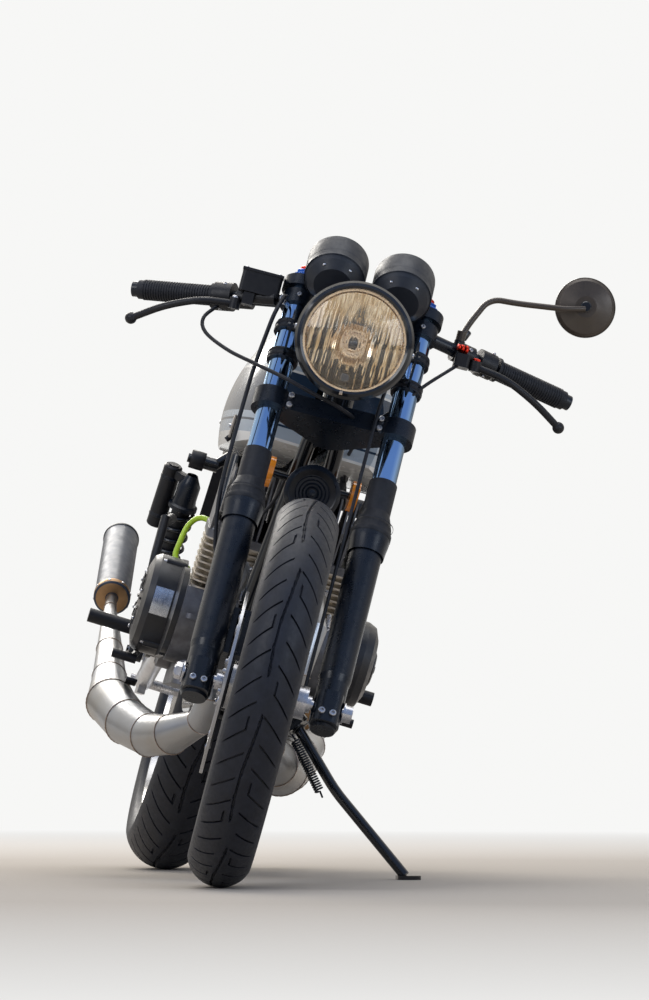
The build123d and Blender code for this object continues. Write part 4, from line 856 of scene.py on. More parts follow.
def dials(rims, faces, marks, needles, panes, screws):
    """Bezels, printed faces with ticks, numbers and needles, glasses and screws of both instruments."""
    for side, top, unit in ((1, 8, 20), (-1, 12, 1)):
        place = at(GAUGE_X, side * GAUGE_SPACING / 2, GAUGE_Z) @ turn("Y", GAUGE_LEAN) @ turn("Z", 180)
        turned(rims, [(45.4, 27), (45.4, 31), (46.5, 32.6), (49, 32.6), (50.6, 31), (50.9, 28), (50.9, -8),
                      (50.6, -10), (50.4, -9)], place, 96)
        turned(rims, [(50.4, -21), (51.0, -22), (51.0, -25), (50.2, -26)], place, 96)
        turned(faces, [(0, 27.1), (45.3, 27.1)], place, 64)
        for step in range(top * 5 + 1):
            way = dial_way(DIAL_SWEEP * step / (top * 5))
            start, width = (39.5, 0.5) if step % 5 else (37, 1.1)
            bar_between(marks, way * start, way * TICK_END, width, DIAL_FACE, place)
        for index in range(top + 1):
            middle = dial_way(DIAL_SWEEP * index / top) * FIGURE_RADIUS
            number_print(marks, str(index * unit), middle, place)
        bar_between(needles, dial_way(2) * -8, dial_way(2) * 35, 1.5, 28.6, place)
        turned(needles, [(0, 27.2), (4.6, 27.2), (4.6, 30), (3.4, 30.6), (0, 30.6)], place, 32)
        turned(panes, [(0, 31.6), (45.2, 31.0), (45.2, 30.0), (0, 30.6)], place, 64)
        for angle in (35, 145, 215, 325):
            turned(screws, [(3.6, 0), (3.6, -2), (2.8, -2.8), (0, -2.8)],
                   place @ turn("Z", angle) @ at(38, 0, -36.5) @ turn("Y", 35), 16)


# Fork, axle and caliper, in the fork's own place

def fork_details(bolts, reds, blues, seams, shoulders):
    """Clamp bolts, cap hexagons with their adjusters, the boots' bands and the sliders' shoulders."""
    for side in SIDES:
        y = side * HALF_LEGS
        heads = [(30.6, y + across, -21, 11, 5) for across in (-9, 9)]
        heads += [(20.4, side * 76, height, 10, 6) for height in (515, 533)]
        heads += [(6.4, side * 78, 752, 9, 5), (26, y, 723, 8, 4)]
        for *spot, across, height in heads:
            cap_screw(bolts, at(*spot) @ FORWARD, across, height)
        cap = at(0, y, 766)
        turned(blues, [(0, 0.2), (19.4, 0.2), (19.4, 7), (18.4, 8.6), (15.4, 9), (15.4, 16), (14, 17.4),
                       (0, 17.4)], cap, 6)
        turned(reds, [(0, 17), (9, 17), (9.6, 18), (9.6, 24.4), (8.6, 25.6), (0, 25.6)], cap, 24)
        turned(reds, [(0, 25), (4, 25), (4, 27.6), (0, 27.6)], cap, 12)
        leg = at(0, y, 0)
        for low, high in ((322, 332), (346, 346)):
            band(seams, leg, 33.3, 33.9, low, high)
        for low in (605, 614, 659, 668):
            band(seams, leg, 25.7, 26.4, low, low + 5, steps=40)
        turned(shoulders, [(30.1, 288), (31.0, 300), (32.6, 312), (33.2, 318), (33.2, 323), (30.5, 324)],
               leg, 64)


def axle_details(ends, caliper):
    """Axle nuts with their washers, and the caliper's screws."""
    for side in SIDES:
        turned(ends, [(0, 0), (13, 0), (14, 1), (14, 9), (12.6, 11), (9, 11), (8, 13), (0, 13)],
               outward(0, side * (HALF_LEGS + 28.2), 0, side), 6)
        turned(ends, [(14, 0), (17, 0), (17, 2.4), (14, 2.4)],
               outward(0, side * (HALF_LEGS + 25.6), 0, side), 32)
    for height in (150, 74):
        cap_screw(caliper, outward(-62, -98, height, -1), 9, 5)
    hex_head(caliper, outward(-64, -102.2, 112, -1), 30, 2.5)
    for height in (84, 140):
        cap_screw(caliper, at(-24.6, -88, height) @ FORWARD, 10, 5)
    turned(caliper, [(0, 0), (7, 0), (7, 9), (0, 9)], at(-64, -74, 154) @ turn("Y", -20), 6)


# Mirror, levers and hand controls

def mirror_details(glass_face, rim):
    """Silvered glass facing the rider, and the round cap on the ball joint's side."""
    back = along((280.06, 363, 1092.33), (279.06, 363, 1092.33))
    turned(glass_face, [(0, 17.5), (46.2, 17.5), (46.2, 18.6), (0, 18.6)], back, 72)
    turned(rim, [(46.4, 17.2), (46.4, 20.2), (47.4, 21.2), (49.6, 21), (50.8, 19.6), (50.8, 13.6),
                 (50.4, 12.8)], back, 96)
    turned(rim, [(9, 0.4), (9, -3), (7.5, -4.4), (0, -4.6)], back, 32)
    turned(rim, [(6.2, 0), (6.8, 1), (6.8, 15), (6.2, 16), (0, 16)],
           along((306.5, 176, 985), (300.6, 185, 1007)), 24)


def bar_frame(side, share):
    """A place on a clip-on bar: Z out along it, X forward."""
    root = Vector((353.06, side * HALF_LEGS, 968.33))
    end = Vector((250.06, side * 377, 931.03))
    out = (end - root).normalized()
    ahead = (Vector((1, 0, 0)) - out * out.x).normalized()
    return basis(ahead, out.cross(ahead), out, root.lerp(end, share))


def on_bar(side, share, angle, out):
    """A place beside a bar that faces away from it."""
    return bar_frame(side, share) @ turn("Z", angle) @ FORWARD @ at(0, 0, out)


def control_details(screws, rubbers, reds):
    """Clamp screws, buttons, grip ribs, the brake reservoir's lid, banjos and the cable adjusters."""
    ribs = [(16.2, 0)]
    for step in range(26):
        low = 2 + step * 4.6
        ribs += [(16.2, low), (17.4, low + 0.8), (17.4, low + 3.0), (16.2, low + 3.8)]
    for side in SIDES:
        for share, angle, out, across in ((0.30, 35, 17.6, 7), (0.30, -35, 17.6, 7), (0.43, 60, 22.5, 6),
                                          (0.45, -70, 22.5, 6)):
            cap_screw(screws, on_bar(side, share, angle, out), across, 3)
        for share, angle, size in ((0.42, 130, (12, 8, 5)), (0.455, 160, (8, 8, 6)), (0.43, 200, (7, 16, 4))):
            block(rubbers, size, on_bar(side, share, angle, 23), 1.2)
        turned(rubbers, ribs, bar_frame(side, 0.52), 36)
        turned(screws, [(0, 0), (6, 0), (5.4, 1.6), (0, 2)], bar_frame(side, 1.0), 20)
    lid = at(356.5, -172, 1000.4)
    block(rubbers, (44, 70, 5), lid, 1.6)
    for across in (-28, 28):
        for ahead in (-15, 15):
            turned(screws, [(3, 0), (3, 1.2), (1.8, 1.8), (0, 1.8)], lid @ at(ahead, across, 2.4), 16)
    banjo = along((368, -132, 966), (372, -128, 966))
    for height in (0, 6):
        turned(screws, [(0, 0), (8, 0), (8.6, 0.8), (8.6, 4), (8, 4.8), (0, 4.8)],
               banjo @ at(0, 0, height), 24)
    for height, radius in ((0, 8), (7, 6.6), (13, 5)):
        wide = radius + 0.6
        turned(reds, [(0, 0), (radius, 0), (wide, 1), (wide, 4), (radius, 5), (0, 5)],
               bar_frame(1, 0.27) @ at(20, -6, 0) @ turn("X", 180) @ at(0, 0, height), 18)
    for side, bm in ((1, reds), (-1, screws)):
        turned(bm, [(0, -1), (7, -1), (7, 3), (5.6, 4), (0, 4)], at(354, side * 206, 949.5), 20)


# Shocks with open springs

SHOCK_TOP = Vector((-450, 0, 722))
SHOCK_FOOT = Vector((-600, 0, 366))
SHOCK_Y = 150


def shock_pieces(bodies, springs, collars):
    """Coil springs over dampers, collars, and a reservoir on each with its cap."""
    length = (SHOCK_TOP - SHOCK_FOOT).length
    axis = (SHOCK_TOP - SHOCK_FOOT).normalized()
    ahead = axis.cross(Vector((1, 0, 0))).normalized().cross(axis)
    high = length - 100
    for side in SIDES:
        shift = Vector((0, side * SHOCK_Y, 0))
        place = basis(ahead, axis.cross(ahead), axis, SHOCK_FOOT + shift)
        tube(springs, [place @ Vector(point) for point in helix(22.6, 9.5, 26, 78, high)], 4.3, sides=12)
        turned(bodies, [(0, 12), (11, 12), (11, 44), (9, 46), (9, 150), (17, 152), (17, high), (0, high)],
               place)
        turned(collars, [(11, 58), (24, 60), (26.6, 62), (26.6, 72), (24, 74), (11, 74)], place)
        turned(collars, [(10, 4), (26.6, 4), (26.6, 11), (22, 14), (20.5, 24), (20.5, 50), (14, 62),
                         (10, 70)], place @ at(0, 0, high))
        for end in (SHOCK_TOP + shift, SHOCK_FOOT + shift):
            turned(bodies, [(8.4, -13), (16.4, -13), (17, -12), (17, 12), (16.4, 13), (8.4, 13)],
                   at(*end) @ RIGHTWARD, 40)
            turned(collars, [(0, 14.4), (9, 14.4), (9, 18), (0, 18)], outward(*end, side), 6)
        aside = place @ turn("Z", side * 130)
        can = aside @ at(47, 0, length - 92)
        turned(bodies, [(0, -60), (14, -60), (16.8, -57), (16.8, 57), (14, 60), (0, 60)], can)
        for height in (-40, 34):
            band(collars, can, 16.9, 17.4, height, height + 6.5, 0.5)
        turned(collars, [(0, 60), (10, 60), (10, 62), (0, 62)], can, 24)
        block(bodies, (46, 16, 16), aside @ at(24, 0, length - 44), 3)


# Engine's fasteners and fittings

BoltCircle = namedtuple("BoltCircle", "x y z side radius angles across height")
BOLT_CIRCLES = (
    BoltCircle(-60, -174, 436, -1, 84, (60, 110, 160, 210, 305), 9, 5),
    BoltCircle(60, 152, 430, 1, 74, (20, 80, 140, 220, 280, 330), 9, 5),
    BoltCircle(-60, -201.2, 436, -1, 50, range(15, 360, 60), 6, 2.4),
)
PLEAT_STEPS = 96
SPROCKET_COVER_BOLTS = ((-205, 360), (-205, 455), (-120, 478), (-30, 478), (-30, 358))


def cover_details(bolts, ribs, plate):
    """Bolts round the covers, ribs on the clutch's and a curved blank plate on its front."""
    for circle in BOLT_CIRCLES:
        for x, z in around(circle.radius, circle.angles):
            spot = outward(circle.x + x, circle.y, circle.z + z, circle.side)
            cap_screw(bolts, spot, circle.across, circle.height)
    for x, z in SPROCKET_COVER_BOLTS:
        cap_screw(bolts, outward(x, 128, z, 1), 9, 5)
    turned(ribs, [(0, 0), (30, 0), (30, 3), (26, 5), (8, 5), (6, 8), (0, 8)], outward(60, 207, 430, 1))
    for angle in range(0, 360, 24):
        block(ribs, (18, 4, 2.4), outward(-60, -200.6, 436, -1) @ turn("Z", angle) @ at(38, 0, 0), 0.8)
    skin(plate, [[plate.verts.new((x - 60, y, z + 436)) for y in (-181, -149)]
                 for x, z in around(87.6, range(18, -15, -4))], closed=False)


def cylinder_details(nuts, leads):
    """Head nuts, plug caps with their leads, and the exhaust flanges."""
    port = BARREL_BASE + 42
    top = BARREL_TOP + 64
    for side in SIDES:
        y = side * CYLINDER_Y
        for ahead in (-50, 50):
            for across in (-52, 52):
                turned(nuts, [(0, 14), (9, 14), (9, 16), (7, 16), (7, 27), (3.4, 27), (3.4, 31), (0, 31)],
                       at(ahead, y + across, BARREL_TOP), 6)
        cap = at(0, y, top)
        turned(leads, [(6, 84), (7, 85), (7, 90), (5, 94), (4, 98)], cap, 20)
        for height in (24, 34, 44, 54):
            band(leads, cap, 8.2, 9.2, height, height + 5, steps=24)
        path = smooth_path([(0, y, 96 + top), (-6, y, 112 + top), (-34, y * 0.8, 118 + top),
                            (-70, y * 0.45, 104 + top)], spacing=4)
        tube(leads, path, 3.4, sides=12)
        turned(nuts, [(25.4, 0), (29, 0), (30, 1.5), (30, 8), (29, 9.5), (25.4, 9.5)],
               at(60, y, port) @ FORWARD, 40)
        for across in (-29, 29):
            hex_head(nuts, at(73, y + across * 0.86, port + across * 0.5) @ FORWARD, 9, 7)


def carburettor_details(gauze, ends, bright):
    """Slide caps, clamps round the stubs, bowl screws, and the gauze pleats of the filters."""
    for side in SIDES:
        y = side * CYLINDER_Y
        middle = at(-106.3, y, BARREL_BASE + 64)
        turned(bright, [(22.2, 34), (23.6, 35), (23.6, 44), (22, 46.5), (8, 47), (8, 52), (0, 52)],
               middle, 24)
        turned(ends, [(5, 52), (5, 62), (3.5, 64), (0, 64)], middle, 16)
        for x in (-82.3, -122.3):
            band(bright, at(x, y, BARREL_BASE + 50) @ FORWARD, 21.2, 22.6, -3.5, 3.5, 0.5, 40)
        for across in (-18, 18):
            for ahead in (-18, 18):
                turned(bright, [(2.8, 0), (2.8, -2), (0, -2)],
                       at(-106.3 + ahead, y + across, BARREL_BASE - 0.8), 12)
        pod = at(-130.6, y, BARREL_BASE + 50) @ BACKWARD
        pleats = [(360 * k / PLEAT_STEPS, 0.9 if k % 2 else -0.9) for k in range(PLEAT_STEPS)]
        skin(gauze, [[gauze.verts.new(pod @ Vector((*polar(radius + swell, angle), height)))
                      for angle, swell in pleats] for radius, height in ((31, 16), (29.4, 74))])
        turned(ends, [(0, 0), (25, 0), (27, 8), (32.4, 12), (32.6, 16), (31, 18), (29, 17)], pod, 64)
        turned(bright, [(29, 73), (31, 74), (31, 80), (27, 84.4), (0, 84.4)], pod, 64)
        turned(bright, [(25.2, 1), (26.6, 1.4), (26.6, 7), (26, 8)], pod)


# Exhausts: weld beads, springs, brackets and the cans' ends

Station = namedtuple("Station", "x y z radius")
RIGHT_PIPE = [Station(*row) for row in (
    (252, -80, 458, 22), (272, -72, 380, 22), (262, -54, 304, 22), (215, -56, 256, 23), (150, -92, 224, 34),
    (80, -122, 214, 37), (0, -161, 226, 40), (-90, -194, 253, 42), (-200, -202, 295, 30),
    (-320, -210, 346, 23), (-430, -218, 395, 16), (-480, -222.8, 424, 10.5), (-520, -223.3, 443, 10.5),
)]
LEFT_PIPE = [Station(*row) for row in (
    (252, 80, 458, 22), (272, 72, 380, 23), (256, 56, 300, 25), (205, 64, 248, 30), (110, 92, 228, 40),
    (20, 110, 226, 49), (-110, 128, 236, 49), (-210, 150, 254, 43), (-330, 178, 284, 29),
    (-430, 194, 312, 14), (-460, 197, 321, 11), (-510, 199, 337, 11),
)]
BEAD_STEPS = 96


def weld_beads(bm, stations):
    """A rippled bead where two rolled cones meet."""
    for before, here, after in zip(stations, stations[1:], stations[2:]):
        point = Vector(here[:3])
        way = (point - Vector(before[:3])).normalized() + (Vector(after[:3]) - point).normalized()
        place = along(point, point + way)
        tube(bm, [place @ Vector((*polar(here.radius + 0.15 + 0.25 * sin(k * 2.1), 360 * k / BEAD_STEPS), 0))
                  for k in range(BEAD_STEPS)], 1.15, sides=6, closed=True)


def coil(bm, start, end, radius, wire_radius, turns, hooks=6):
    """An extension spring with a straight hook at each end."""
    length = (Vector(end) - Vector(start)).length
    points = [(0, 0, 0)] + helix(radius, turns, 14, hooks, length - hooks) + [(0, 0, length)]
    tube(bm, [along(start, end) @ Vector(point) for point in points], wire_radius, sides=8)


def exhaust_details(beads, springs, rings, screws, brackets, inside):
    """Weld beads along both chambers, springs at the ports, and the cans' rings, screws and outlets."""
    for side, stations, length in ((-1, RIGHT_PIPE, 290), (1, LEFT_PIPE, 270)):
        weld_beads(beads, stations)
        end = Vector(stations[-1][:3])
        can = along(end, 2 * end - Vector(stations[-2][:3]))
        turned(rings, [(12, -0.6), (28, -0.6), (32, 1.6), (33.4, 4), (33.4, 14), (32.4, 15)], can, 64)
        tip = can @ at(0, 0, length)
        turned(brackets, [(32.1, -15), (33.2, -14), (33.2, -10), (30, -6)], tip, 64)
        for angle in range(20, 360, 45):
            turned(screws, [(2.9, 0), (2.9, 0.8), (1.8, 1.6), (0, 1.7)],
                   can @ turn("Z", angle) @ at(33.3, 0, 9) @ FORWARD, 14)
        turned(inside, [(13.6, 13.8), (12, 15), (10.8, 13.6), (10.8, -16), (0, -16)], tip, 40)
        for y in (side * 76 - 26, side * 76 + 26):
            coil(springs, (208, y, 492), (248, y, 462), 3.2, 0.9, 9)
    block(brackets, (34, 5, 30), at(118, -70, 262) @ turn("Y", 20), 1.5)
    block(brackets, (30, 20, 5), at(-60, -172, 296) @ turn("Y", -15), 1.5)
    hex_head(screws, outward(118, -73, 262, -1), 12, 6)


# Seat

SeatRow = namedtuple("SeatRow", "x half high")
SEAT_ROWS = (
    SeatRow(-198, 80, 834), SeatRow(-300, 110, 830), SeatRow(-440, 120, 832), SeatRow(-545, 116, 851),
)
SEAT_LOW = 783
SEAT_SEAMS = range(-500, -220, 40)
SEAT_STEPS = 40
SEAT_VOXEL = 0.0055
SWELL_FRAMES = 20
MOST_SWELL = 5
SEAM_DEPTH = 4.2
SEAM_WIDTH = 4.5
SEAM_HALF = 78
SEAM_FADE = 14
WELT_DEPTH = 3.2
WELT_WIDTH = 3.5
WELT_Y = 88


def seat_row(x):
    """Half the seat's width and the height of its top, at a place along it."""
    low, high = next((a, b) for a, b in zip(SEAT_ROWS, SEAT_ROWS[1:]) if b.x <= x <= a.x)
    share = (x - low.x) / (high.x - low.x)
    return low.half + (high.half - low.half) * share, low.high + (high.high - low.high) * share


def bake(obj):
    """Applies a piece's modifiers to its mesh."""
    mesh = bpy.data.meshes.new_from_object(obj.evaluated_get(bpy.context.evaluated_depsgraph_get()))
    obj.modifiers.clear()
    old = obj.data
    obj.data = mesh
    mesh.shade_smooth()
    bpy.data.meshes.remove(old)


def seat_blank(bm):
    """The pad before it is swollen: rounded sections from tail to tank."""
    rings = []
    for x in range(-545, -197, 12):
        half, top = seat_row(x)
        ring = []
        for k in range(SEAT_STEPS):
            c, s = cos(tau * k / SEAT_STEPS), sin(tau * k / SEAT_STEPS)
            ring.append(bm.verts.new((x, half * copysign(abs(c) ** 0.35, c),
                                      SEAT_LOW + (top - SEAT_LOW) / 2 * (1 + copysign(abs(s) ** 0.5, s)))))
        rings.append(ring)
    skin(bm, rings)
    bm.faces.new(rings[0])
    bm.faces.new(rings[-1][::-1])


def sew_seat(pad):
    """Foam under leather: swells the pad, sews channels across it and a welt round its foot."""
    remesh = pad.modifiers.new("even", "REMESH")
    remesh.mode = "VOXEL"
    remesh.voxel_size = SEAT_VOXEL
    bake(pad)
    rest = [vert.co.copy() for vert in pad.data.vertices]
    cloth = pad.modifiers.new("swell", "CLOTH")
    cloth.settings.use_pressure = True
    cloth.settings.uniform_pressure_force = 4
    cloth.settings.effector_weights.gravity = 0
    cloth.point_cache.frame_start = 1
    cloth.point_cache.frame_end = SWELL_FRAMES
    for step in range(1, SWELL_FRAMES + 1):
        bpy.context.scene.frame_set(step)
    bake(pad)
    bpy.context.scene.frame_set(1)
    back = CHASSIS.inverted()
    for vert, start in zip(pad.data.vertices, rest):
        moved = back @ vert.co - back @ start
        if moved.length > MOST_SWELL:
            moved *= MOST_SWELL / moved.length
        spot = back @ start + moved
        if spot.z > SEAT_LOW + 14:
            seam = min(abs(spot.x - x) for x in SEAT_SEAMS)
            inner = max(0.0, 1 - max(0.0, abs(spot.y) - SEAM_HALF) / SEAM_FADE)
            spot.z -= SEAM_DEPTH * exp(-(seam / SEAM_WIDTH) ** 2) * inner
            spot.z -= WELT_DEPTH * exp(-((abs(spot.y) - WELT_Y) / WELT_WIDTH) ** 2)
        spot.z = max(spot.z, SEAT_LOW - 0.4)
        vert.co = CHASSIS @ spot
    smooth = pad.modifiers.new("subdivision", "SUBSURF")
    smooth.levels = smooth.render_levels = 1


def seat_stitches(bm):
    for x in SEAT_SEAMS:
        height = seat_row(x)[1] - 5.6
        for y in range(-76, 77, 4):
            tube(bm, [(x - 0.3, y - 1.3, height), (x + 0.3, y, height + 0.7), (x - 0.3, y + 1.3, height)],
                 0.45, sides=5)


# Tank cap, tail, horn and reflectors

def body_details(bright, straps, rubbers, lens):
    """Tank cap's knurled ring, tank straps on rubbers, cowl screws, blank plate and tail lamp rings."""
    cap = at(70, 0, 944.3)
    turned(bright, [(38.2, -20), (40.6, -19.4), (41, -17.6), (38.2, -17)], cap, 72)
    for angle in range(0, 360, 10):
        turned(bright, [(0, -14), (1.3, -14), (1.3, -5), (0, -5)], cap @ turn("Z", angle) @ at(38, 0, 0), 8)
    block(bright, (34, 7, 3.4), cap @ at(0, 0, 1), 1.2)
    turned(bright, [(3.4, 2.4), (3.4, 3.8), (0, 4)], cap, 20)
    holder = at(-852, 0, 708) @ turn("Y", 14)
    block(straps, (1.4, 176, 108), holder @ at(-3, 0, 0), 0.4)
    for side in SIDES:
        tube(rubbers, [(150, side * 131, 742), (150, side * 140, 735), (150, side * 146, 727)], 5, sides=12)
        cap_screw(bright, outward(150, side * 145, 752, side), 7, 3)
        block(straps, (26, 3, 40), at(150, side * 142.5, 752), 1)
        for x in (-600, -700, -790):
            y = side * (114.8 + (x + 640) * 0.16)
            turned(bright, [(4, 0), (4, 1.4), (2.6, 2.2), (0, 2.4)], outward(x, y, 812, side), 16)
        turned(bright, [(0, 0), (5, 0), (5, 3), (0, 3.4)], holder @ at(-3.4, side * 57.5, 34) @ BACKWARD, 6)
    tail = at(-849, 0, 840) @ BACKWARD
    turned(bright, [(26.2, -17), (28.6, -16), (28.6, -1), (26.2, 0.6)], tail, 64)
    ripples(lens, tail, (5, 9.4, 13.8, 18.2, 22.6), 1.2, 1.4)


def horn_rings(bm):
    ripples(bm, at(0, 0, 37), (10, 16, 22, 28), 1.6, 2)
    turned(bm, [(0, 36.6), (6, 36.6), (5.4, 40), (0, 41)], steps=32)
    turned(bm, [(38, 43.8), (40, 45), (45, 42), (46.6, 40.4)], steps=64)


def reflector_ribs(bm):
    for side in SIDES:
        face = outward(328.8, side * 79, 684, side)
        ripples(bm, face, (6, 11, 16, 21), 1.4, 1.2, 40)
        turned(bm, [(24, -0.5), (24.6, 1.6), (26.2, 1.4), (26.3, -8)], face)


# Cables and springs that cross a joint

THROTTLE_CABLE = (
    (318, -232, 934), (345, -250, 905), (372, -240, 880), (430, -197, 856), (482, -148, 841),
    (521, -94, 827), (522, -48, 815), (490, 5, 805), (430, 44, 792), (370, 48, 772), (250, 42, 752),
    (130, 48, 720), (10, 67, 660), (-48, 67, 610),
)
CLUTCH_CABLE = (
    (338, 186, 944), (372, 168, 924), (415, 130, 880), (425, 84, 820), (392, 40, 780), (330, -34, 730),
    (262, -62, 640), (210, -110, 560), (150, -128, 540), (40, -134, 530),
)
LIME_HOSE = (
    (-62, -132, 510), (-72, -158, 522), (-84, -158, 552), (-90, -152, 584), (-80, -136, 602),
    (-58, -104, 598),
)
STAND_HOOKS = ((96, 108, 284), (118, 186, 196))


def cables():
    """Throttle and clutch cables laid through points that all take the steering's turn, and the stand's
    spring.
    """
    for name, points, radius in (("throttle", THROTTLE_CABLE, 3.2), ("clutch", CLUTCH_CABLE, 3.0)):
        run = smooth_path([STEERED @ Vector(point) for point in points], 0.008)
        [cable] = make(lambda bm: tube(bm, run, radius * MM, sides=12), Matrix.Identity(4), None,
                       (name + "_cable", "rubber", "black_rubber", 0))
        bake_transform(cable)
    make(lambda bm: tube(bm, smooth_path(LIME_HOSE, 4), 5), CHASSIS, "chassis",
         ("lime_hose", "lime", "amber_lens"))
    [spring] = make(lambda bm: coil(bm, *STAND_HOOKS, 7, 1.7, 22, 12), CHASSIS, None,
                    ("stand_spring", "black", "spring_dark", 0))
    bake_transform(spring)


# Camera, light and floor

CAMERA_AT = Vector((9.4972, -0.9234, 0.2214))
CAMERA_YAW = 0.09390
CAMERA_PITCH = 0.04468
CAMERA_ROLL = 0.0025
FOCAL_PIXELS = 5556
IMAGE_HEIGHT = 1000
SENSOR = 36
BACKDROP = (0.93, 0.93, 0.92, 1)
SKY_AHEAD = (0.34, 0.46, 0.74)
SKY_BEHIND = (1.15, 1.1, 1.02)
GROUND_GLOW = (0.11, 0.09, 0.075)
SKY_STRENGTH = 0.8
LIT_MIDDLE = Vector((0, 0, 0.6))
FLOOR_HALF = 20
FLOOR_FADE = (1.6, 5.5)


def camera():
    bpy.context.scene.view_settings.view_transform = "Standard"
    data = bpy.data.cameras.new("camera")
    data.sensor_fit = "VERTICAL"
    data.sensor_height = SENSOR
    data.lens = FOCAL_PIXELS / IMAGE_HEIGHT * SENSOR
    data.clip_end = 100
    obj = placed("camera", data)
    forward = Vector((-cos(CAMERA_YAW) * cos(CAMERA_PITCH), sin(CAMERA_YAW) * cos(CAMERA_PITCH),
                      sin(CAMERA_PITCH)))
    right = forward.cross(Vector((0, 0, 1))).normalized()
    up = right.cross(forward)
    tilted_right = right * cos(CAMERA_ROLL) + up * sin(CAMERA_ROLL)
    tilted_up = up * cos(CAMERA_ROLL) - right * sin(CAMERA_ROLL)
    obj.matrix_world = basis(tilted_right, tilted_up, -forward, CAMERA_AT)
    bpy.context.scene.camera = obj


def lamp(name, place, size, power, color=(1, 1, 1)):
    data = bpy.data.lights.new(name, "AREA")
    data.shape = "RECTANGLE"
    data.size, data.size_y = size
    data.energy = power
    data.color = color
    obj = placed(name, data)
    obj.location = place
    obj.rotation_euler = (LIT_MIDDLE - Vector(place)).to_track_quat("-Z", "Y").to_euler()


def world():
    """A blue sky ahead, a bright one behind and dim ground, behind a pale backdrop."""
    made = bpy.data.worlds.new("studio")
    bpy.context.scene.world = made
    made.use_nodes = True
    tree = made.node_tree
    tree.nodes.clear()
    way = node(tree, "SeparateXYZ", node(tree, "TexCoord").outputs["Generated"]).outputs
    sky = mixed(tree, SKY_AHEAD, SKY_BEHIND, spread(tree, way["X"], 1, 0, (-0.6, 0.4)))
    color = mixed(tree, GROUND_GLOW, sky, spread(tree, way["Z"], 0, 1, (-0.08, 0.3)))
    light = node(tree, "Background", color, SKY_STRENGTH).outputs[0]
    seen = node(tree, "Background", BACKDROP, 1.0).outputs[0]
    path = node(tree, "LightPath").outputs
    either = node(tree, "Math", path["Is Camera Ray"], path["Is Transmission Ray"], operation="MAXIMUM")
    node(tree, "OutputWorld", node(tree, "MixShader", either.outputs[0], light, seen).outputs[0])


def floor():
    """Sandy ground that fades into the backdrop far away."""
    bm = bmesh.new()
    bmesh.ops.create_grid(bm, x_segments=1, y_segments=1, size=FLOOR_HALF)
    mesh = bpy.data.meshes.new("floor")
    bm.to_mesh(mesh)
    bm.free()
    mat, tree, surface = shader("floor", (0.5, 0.46, 0.41), 0.0, 1.0, Emission_Color=BACKDROP,
                                Specular_IOR_Level=0.0)
    vector = coordinates(tree)
    reach = node(tree, "VectorMath", vector, operation="LENGTH").outputs["Value"]
    fade = spread(tree, reach, 0, 1, FLOOR_FADE)
    grain = spread(tree, cloud(tree, vector, 60, detail=6), 0.85, 1.15)
    feed(tree, surface["Emission Strength"], fade)
    ground = mixed(tree, (0.36, 0.32, 0.27), (0.44, 0.40, 0.35), grain)
    feed(tree, surface["Base Color"], mixed(tree, ground, (0, 0, 0), fade))
    mesh.materials.append(mat)
    placed("floor", mesh)


# Every piece: what builds it, its place and body, then name, finish, slot, sharp angle, replaced nodes

dress_nodes()
make(lambda bm: tyre(bm, FRONT_TYRE), FRONT_WHEEL, "front_wheel",
     ("front_tread", "tyre", "tyre", 40, ("front_tyre",)))
make(lambda bm: tyre(bm, REAR_TYRE), REAR_WHEEL, "rear_wheel",
     ("rear_tread", "tyre", "tyre", 40, ("rear_tyre",)))
make(lambda bm: nipples_and_valve(bm, FRONT_HUB), FRONT_WHEEL, "front_wheel",
     ("front_nipples", "steel", "axle_steel"))
make(lambda bm: nipples_and_valve(bm, REAR_HUB), REAR_WHEEL, "rear_wheel",
     ("rear_nipples", "steel", "axle_steel"))
make(front_disc, FRONT_WHEEL, "front_wheel",
     ("front_disc_rotor", "disc", "disc_steel", 25, ("front_disc",)),
     ("front_disc_carrier", "black", "black_paint", 25),
     ("front_disc_bolts", "steel", "axle_steel"))
make(headlamp, LAMP, "steering",
     ("headlamp_lens", "lens", "clear_glass", 25, ("headlight_lens",)),
     ("headlamp_bowl", "bowl", "reflector", 25, ("headlight_reflector",)),
     ("headlamp_socket", "warm_steel", "reflector", 30),
     ("headlamp_bulbs", "bulb", "reflector", 40),
     ("headlamp_ring", "warm_steel", "chrome_tube"),
     ("headlamp_screws", "steel", "axle_steel"))
make(dials, STEERED, "steering",
     ("gauge_rims", "cup", "black_satin", 25),
     ("gauge_faces", "dial", "black_satin"),
     ("gauge_marks", "print", "clear_glass"),
     ("gauge_needles", "red", "red_lens"),
     ("gauge_panes", "glass", "clear_glass"),
     ("gauge_screws", "steel", "axle_steel"))
make(fork_details, FORK, "steering",
     ("fork_bolts", "steel", "axle_steel"),
     ("fork_adjusters", "red", "red_lens"),
     ("fork_cap_hexes", "blue", "blue_anodised", 20, ("fork_caps",)),
     ("fork_rubber_ribs", "rubber", "black_rubber"),
     ("fork_shoulders", "black", "black_paint"))
make(axle_details, FORK, "steering",
     ("front_axle_ends", "steel", "axle_steel"),
     ("caliper_bolts", "steel", "axle_steel"))
make(mirror_details, STEERED, "steering",
     ("mirror_glass", "mirror", "reflector"),
     ("mirror_rim", "gloss", "black_gloss"))
make(control_details, STEERED, "steering",
     ("control_screws", "steel", "axle_steel"),
     ("control_buttons", "rubber", "black_rubber"),
     ("clutch_adjusters", "red", "red_lens"))
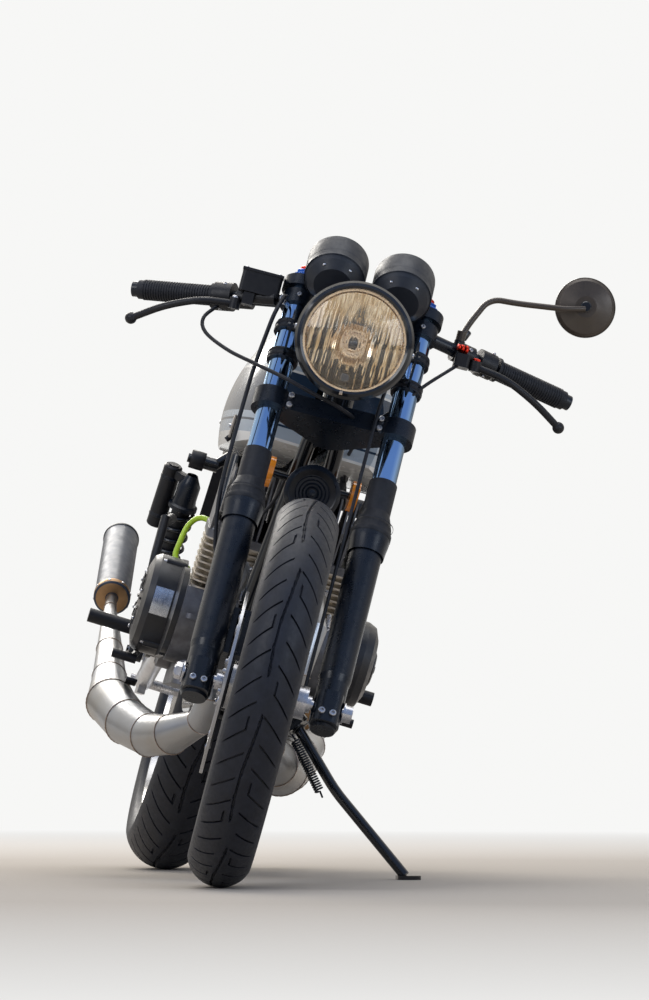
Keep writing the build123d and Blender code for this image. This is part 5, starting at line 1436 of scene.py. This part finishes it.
make(shock_pieces, CHASSIS, "chassis",
     ("shock_bodies", "satin", "spring_dark", 32, ("shocks",)),
     ("shock_springs", "gloss", "spring_dark", 0),
     ("shock_collars", "black", "spring_dark"))
make(cover_details, CHASSIS, "chassis",
     ("engine_bolts", "steel", "axle_steel"),
     ("cover_ribs", "cover", "cover_black"),
     ("clutch_plate", "plate", "satin_alloy"))
make(cylinder_details, CYLINDERS, "chassis",
     ("head_nuts", "steel", "axle_steel"),
     ("plug_leads", "rubber", "black_rubber"))
make(carburettor_details, CYLINDERS, "chassis",
     ("filter_gauze", "filter", "filter_cloth", 0, ("air_filters",)),
     ("filter_ends", "rubber", "black_rubber"),
     ("carburettor_caps", "alloy", "satin_alloy"))
make(exhaust_details, CHASSIS, "chassis",
     ("weld_beads", "weld", "raw_steel"),
     ("exhaust_springs", "steel", "axle_steel"),
     ("can_rings", "bronze", "can_titanium"),
     ("can_screws", "steel", "axle_steel"),
     ("can_straps", "satin", "black_satin"),
     ("can_outlets", "steel", "raw_steel"))
[cushion] = make(seat_blank, CHASSIS, "chassis",
                 ("seat_cushion", "leather", "seat_leather", 0, ("seat_pad",)))
sew_seat(cushion)
make(seat_stitches, CHASSIS, "chassis", ("seat_stitches", "thread", "seat_leather", 0))
make(body_details, CHASSIS, "chassis",
     ("body_brightwork", "chrome", "chrome_tube"),
     ("body_straps", "taupe", "satin_alloy"),
     ("tank_rubbers", "rubber", "black_rubber"),
     ("tail_lens_rings", "red_lens", "red_lens"))
make(horn_rings, HORN, "chassis", ("horn_rings", "black", "black_satin"))
make(reflector_ribs, CHASSIS, "chassis", ("reflector_ribs", "amber", "amber_lens"))
cables()
camera()
lamp("key", (3.5, -3.2, 3.4), (2.2, 2.2), 65, (1.0, 0.98, 0.95))
lamp("fill", (4.0, 3.4, 2.0), (2.5, 2.0), 45, (0.85, 0.92, 1.0))
lamp("back", (-4.0, -1.0, 3.2), (3.0, 2.0), 170, (1.0, 0.96, 0.9))
lamp("top", (0, 0, 4.2), (3.0, 3.0), 60)
world()
floor()
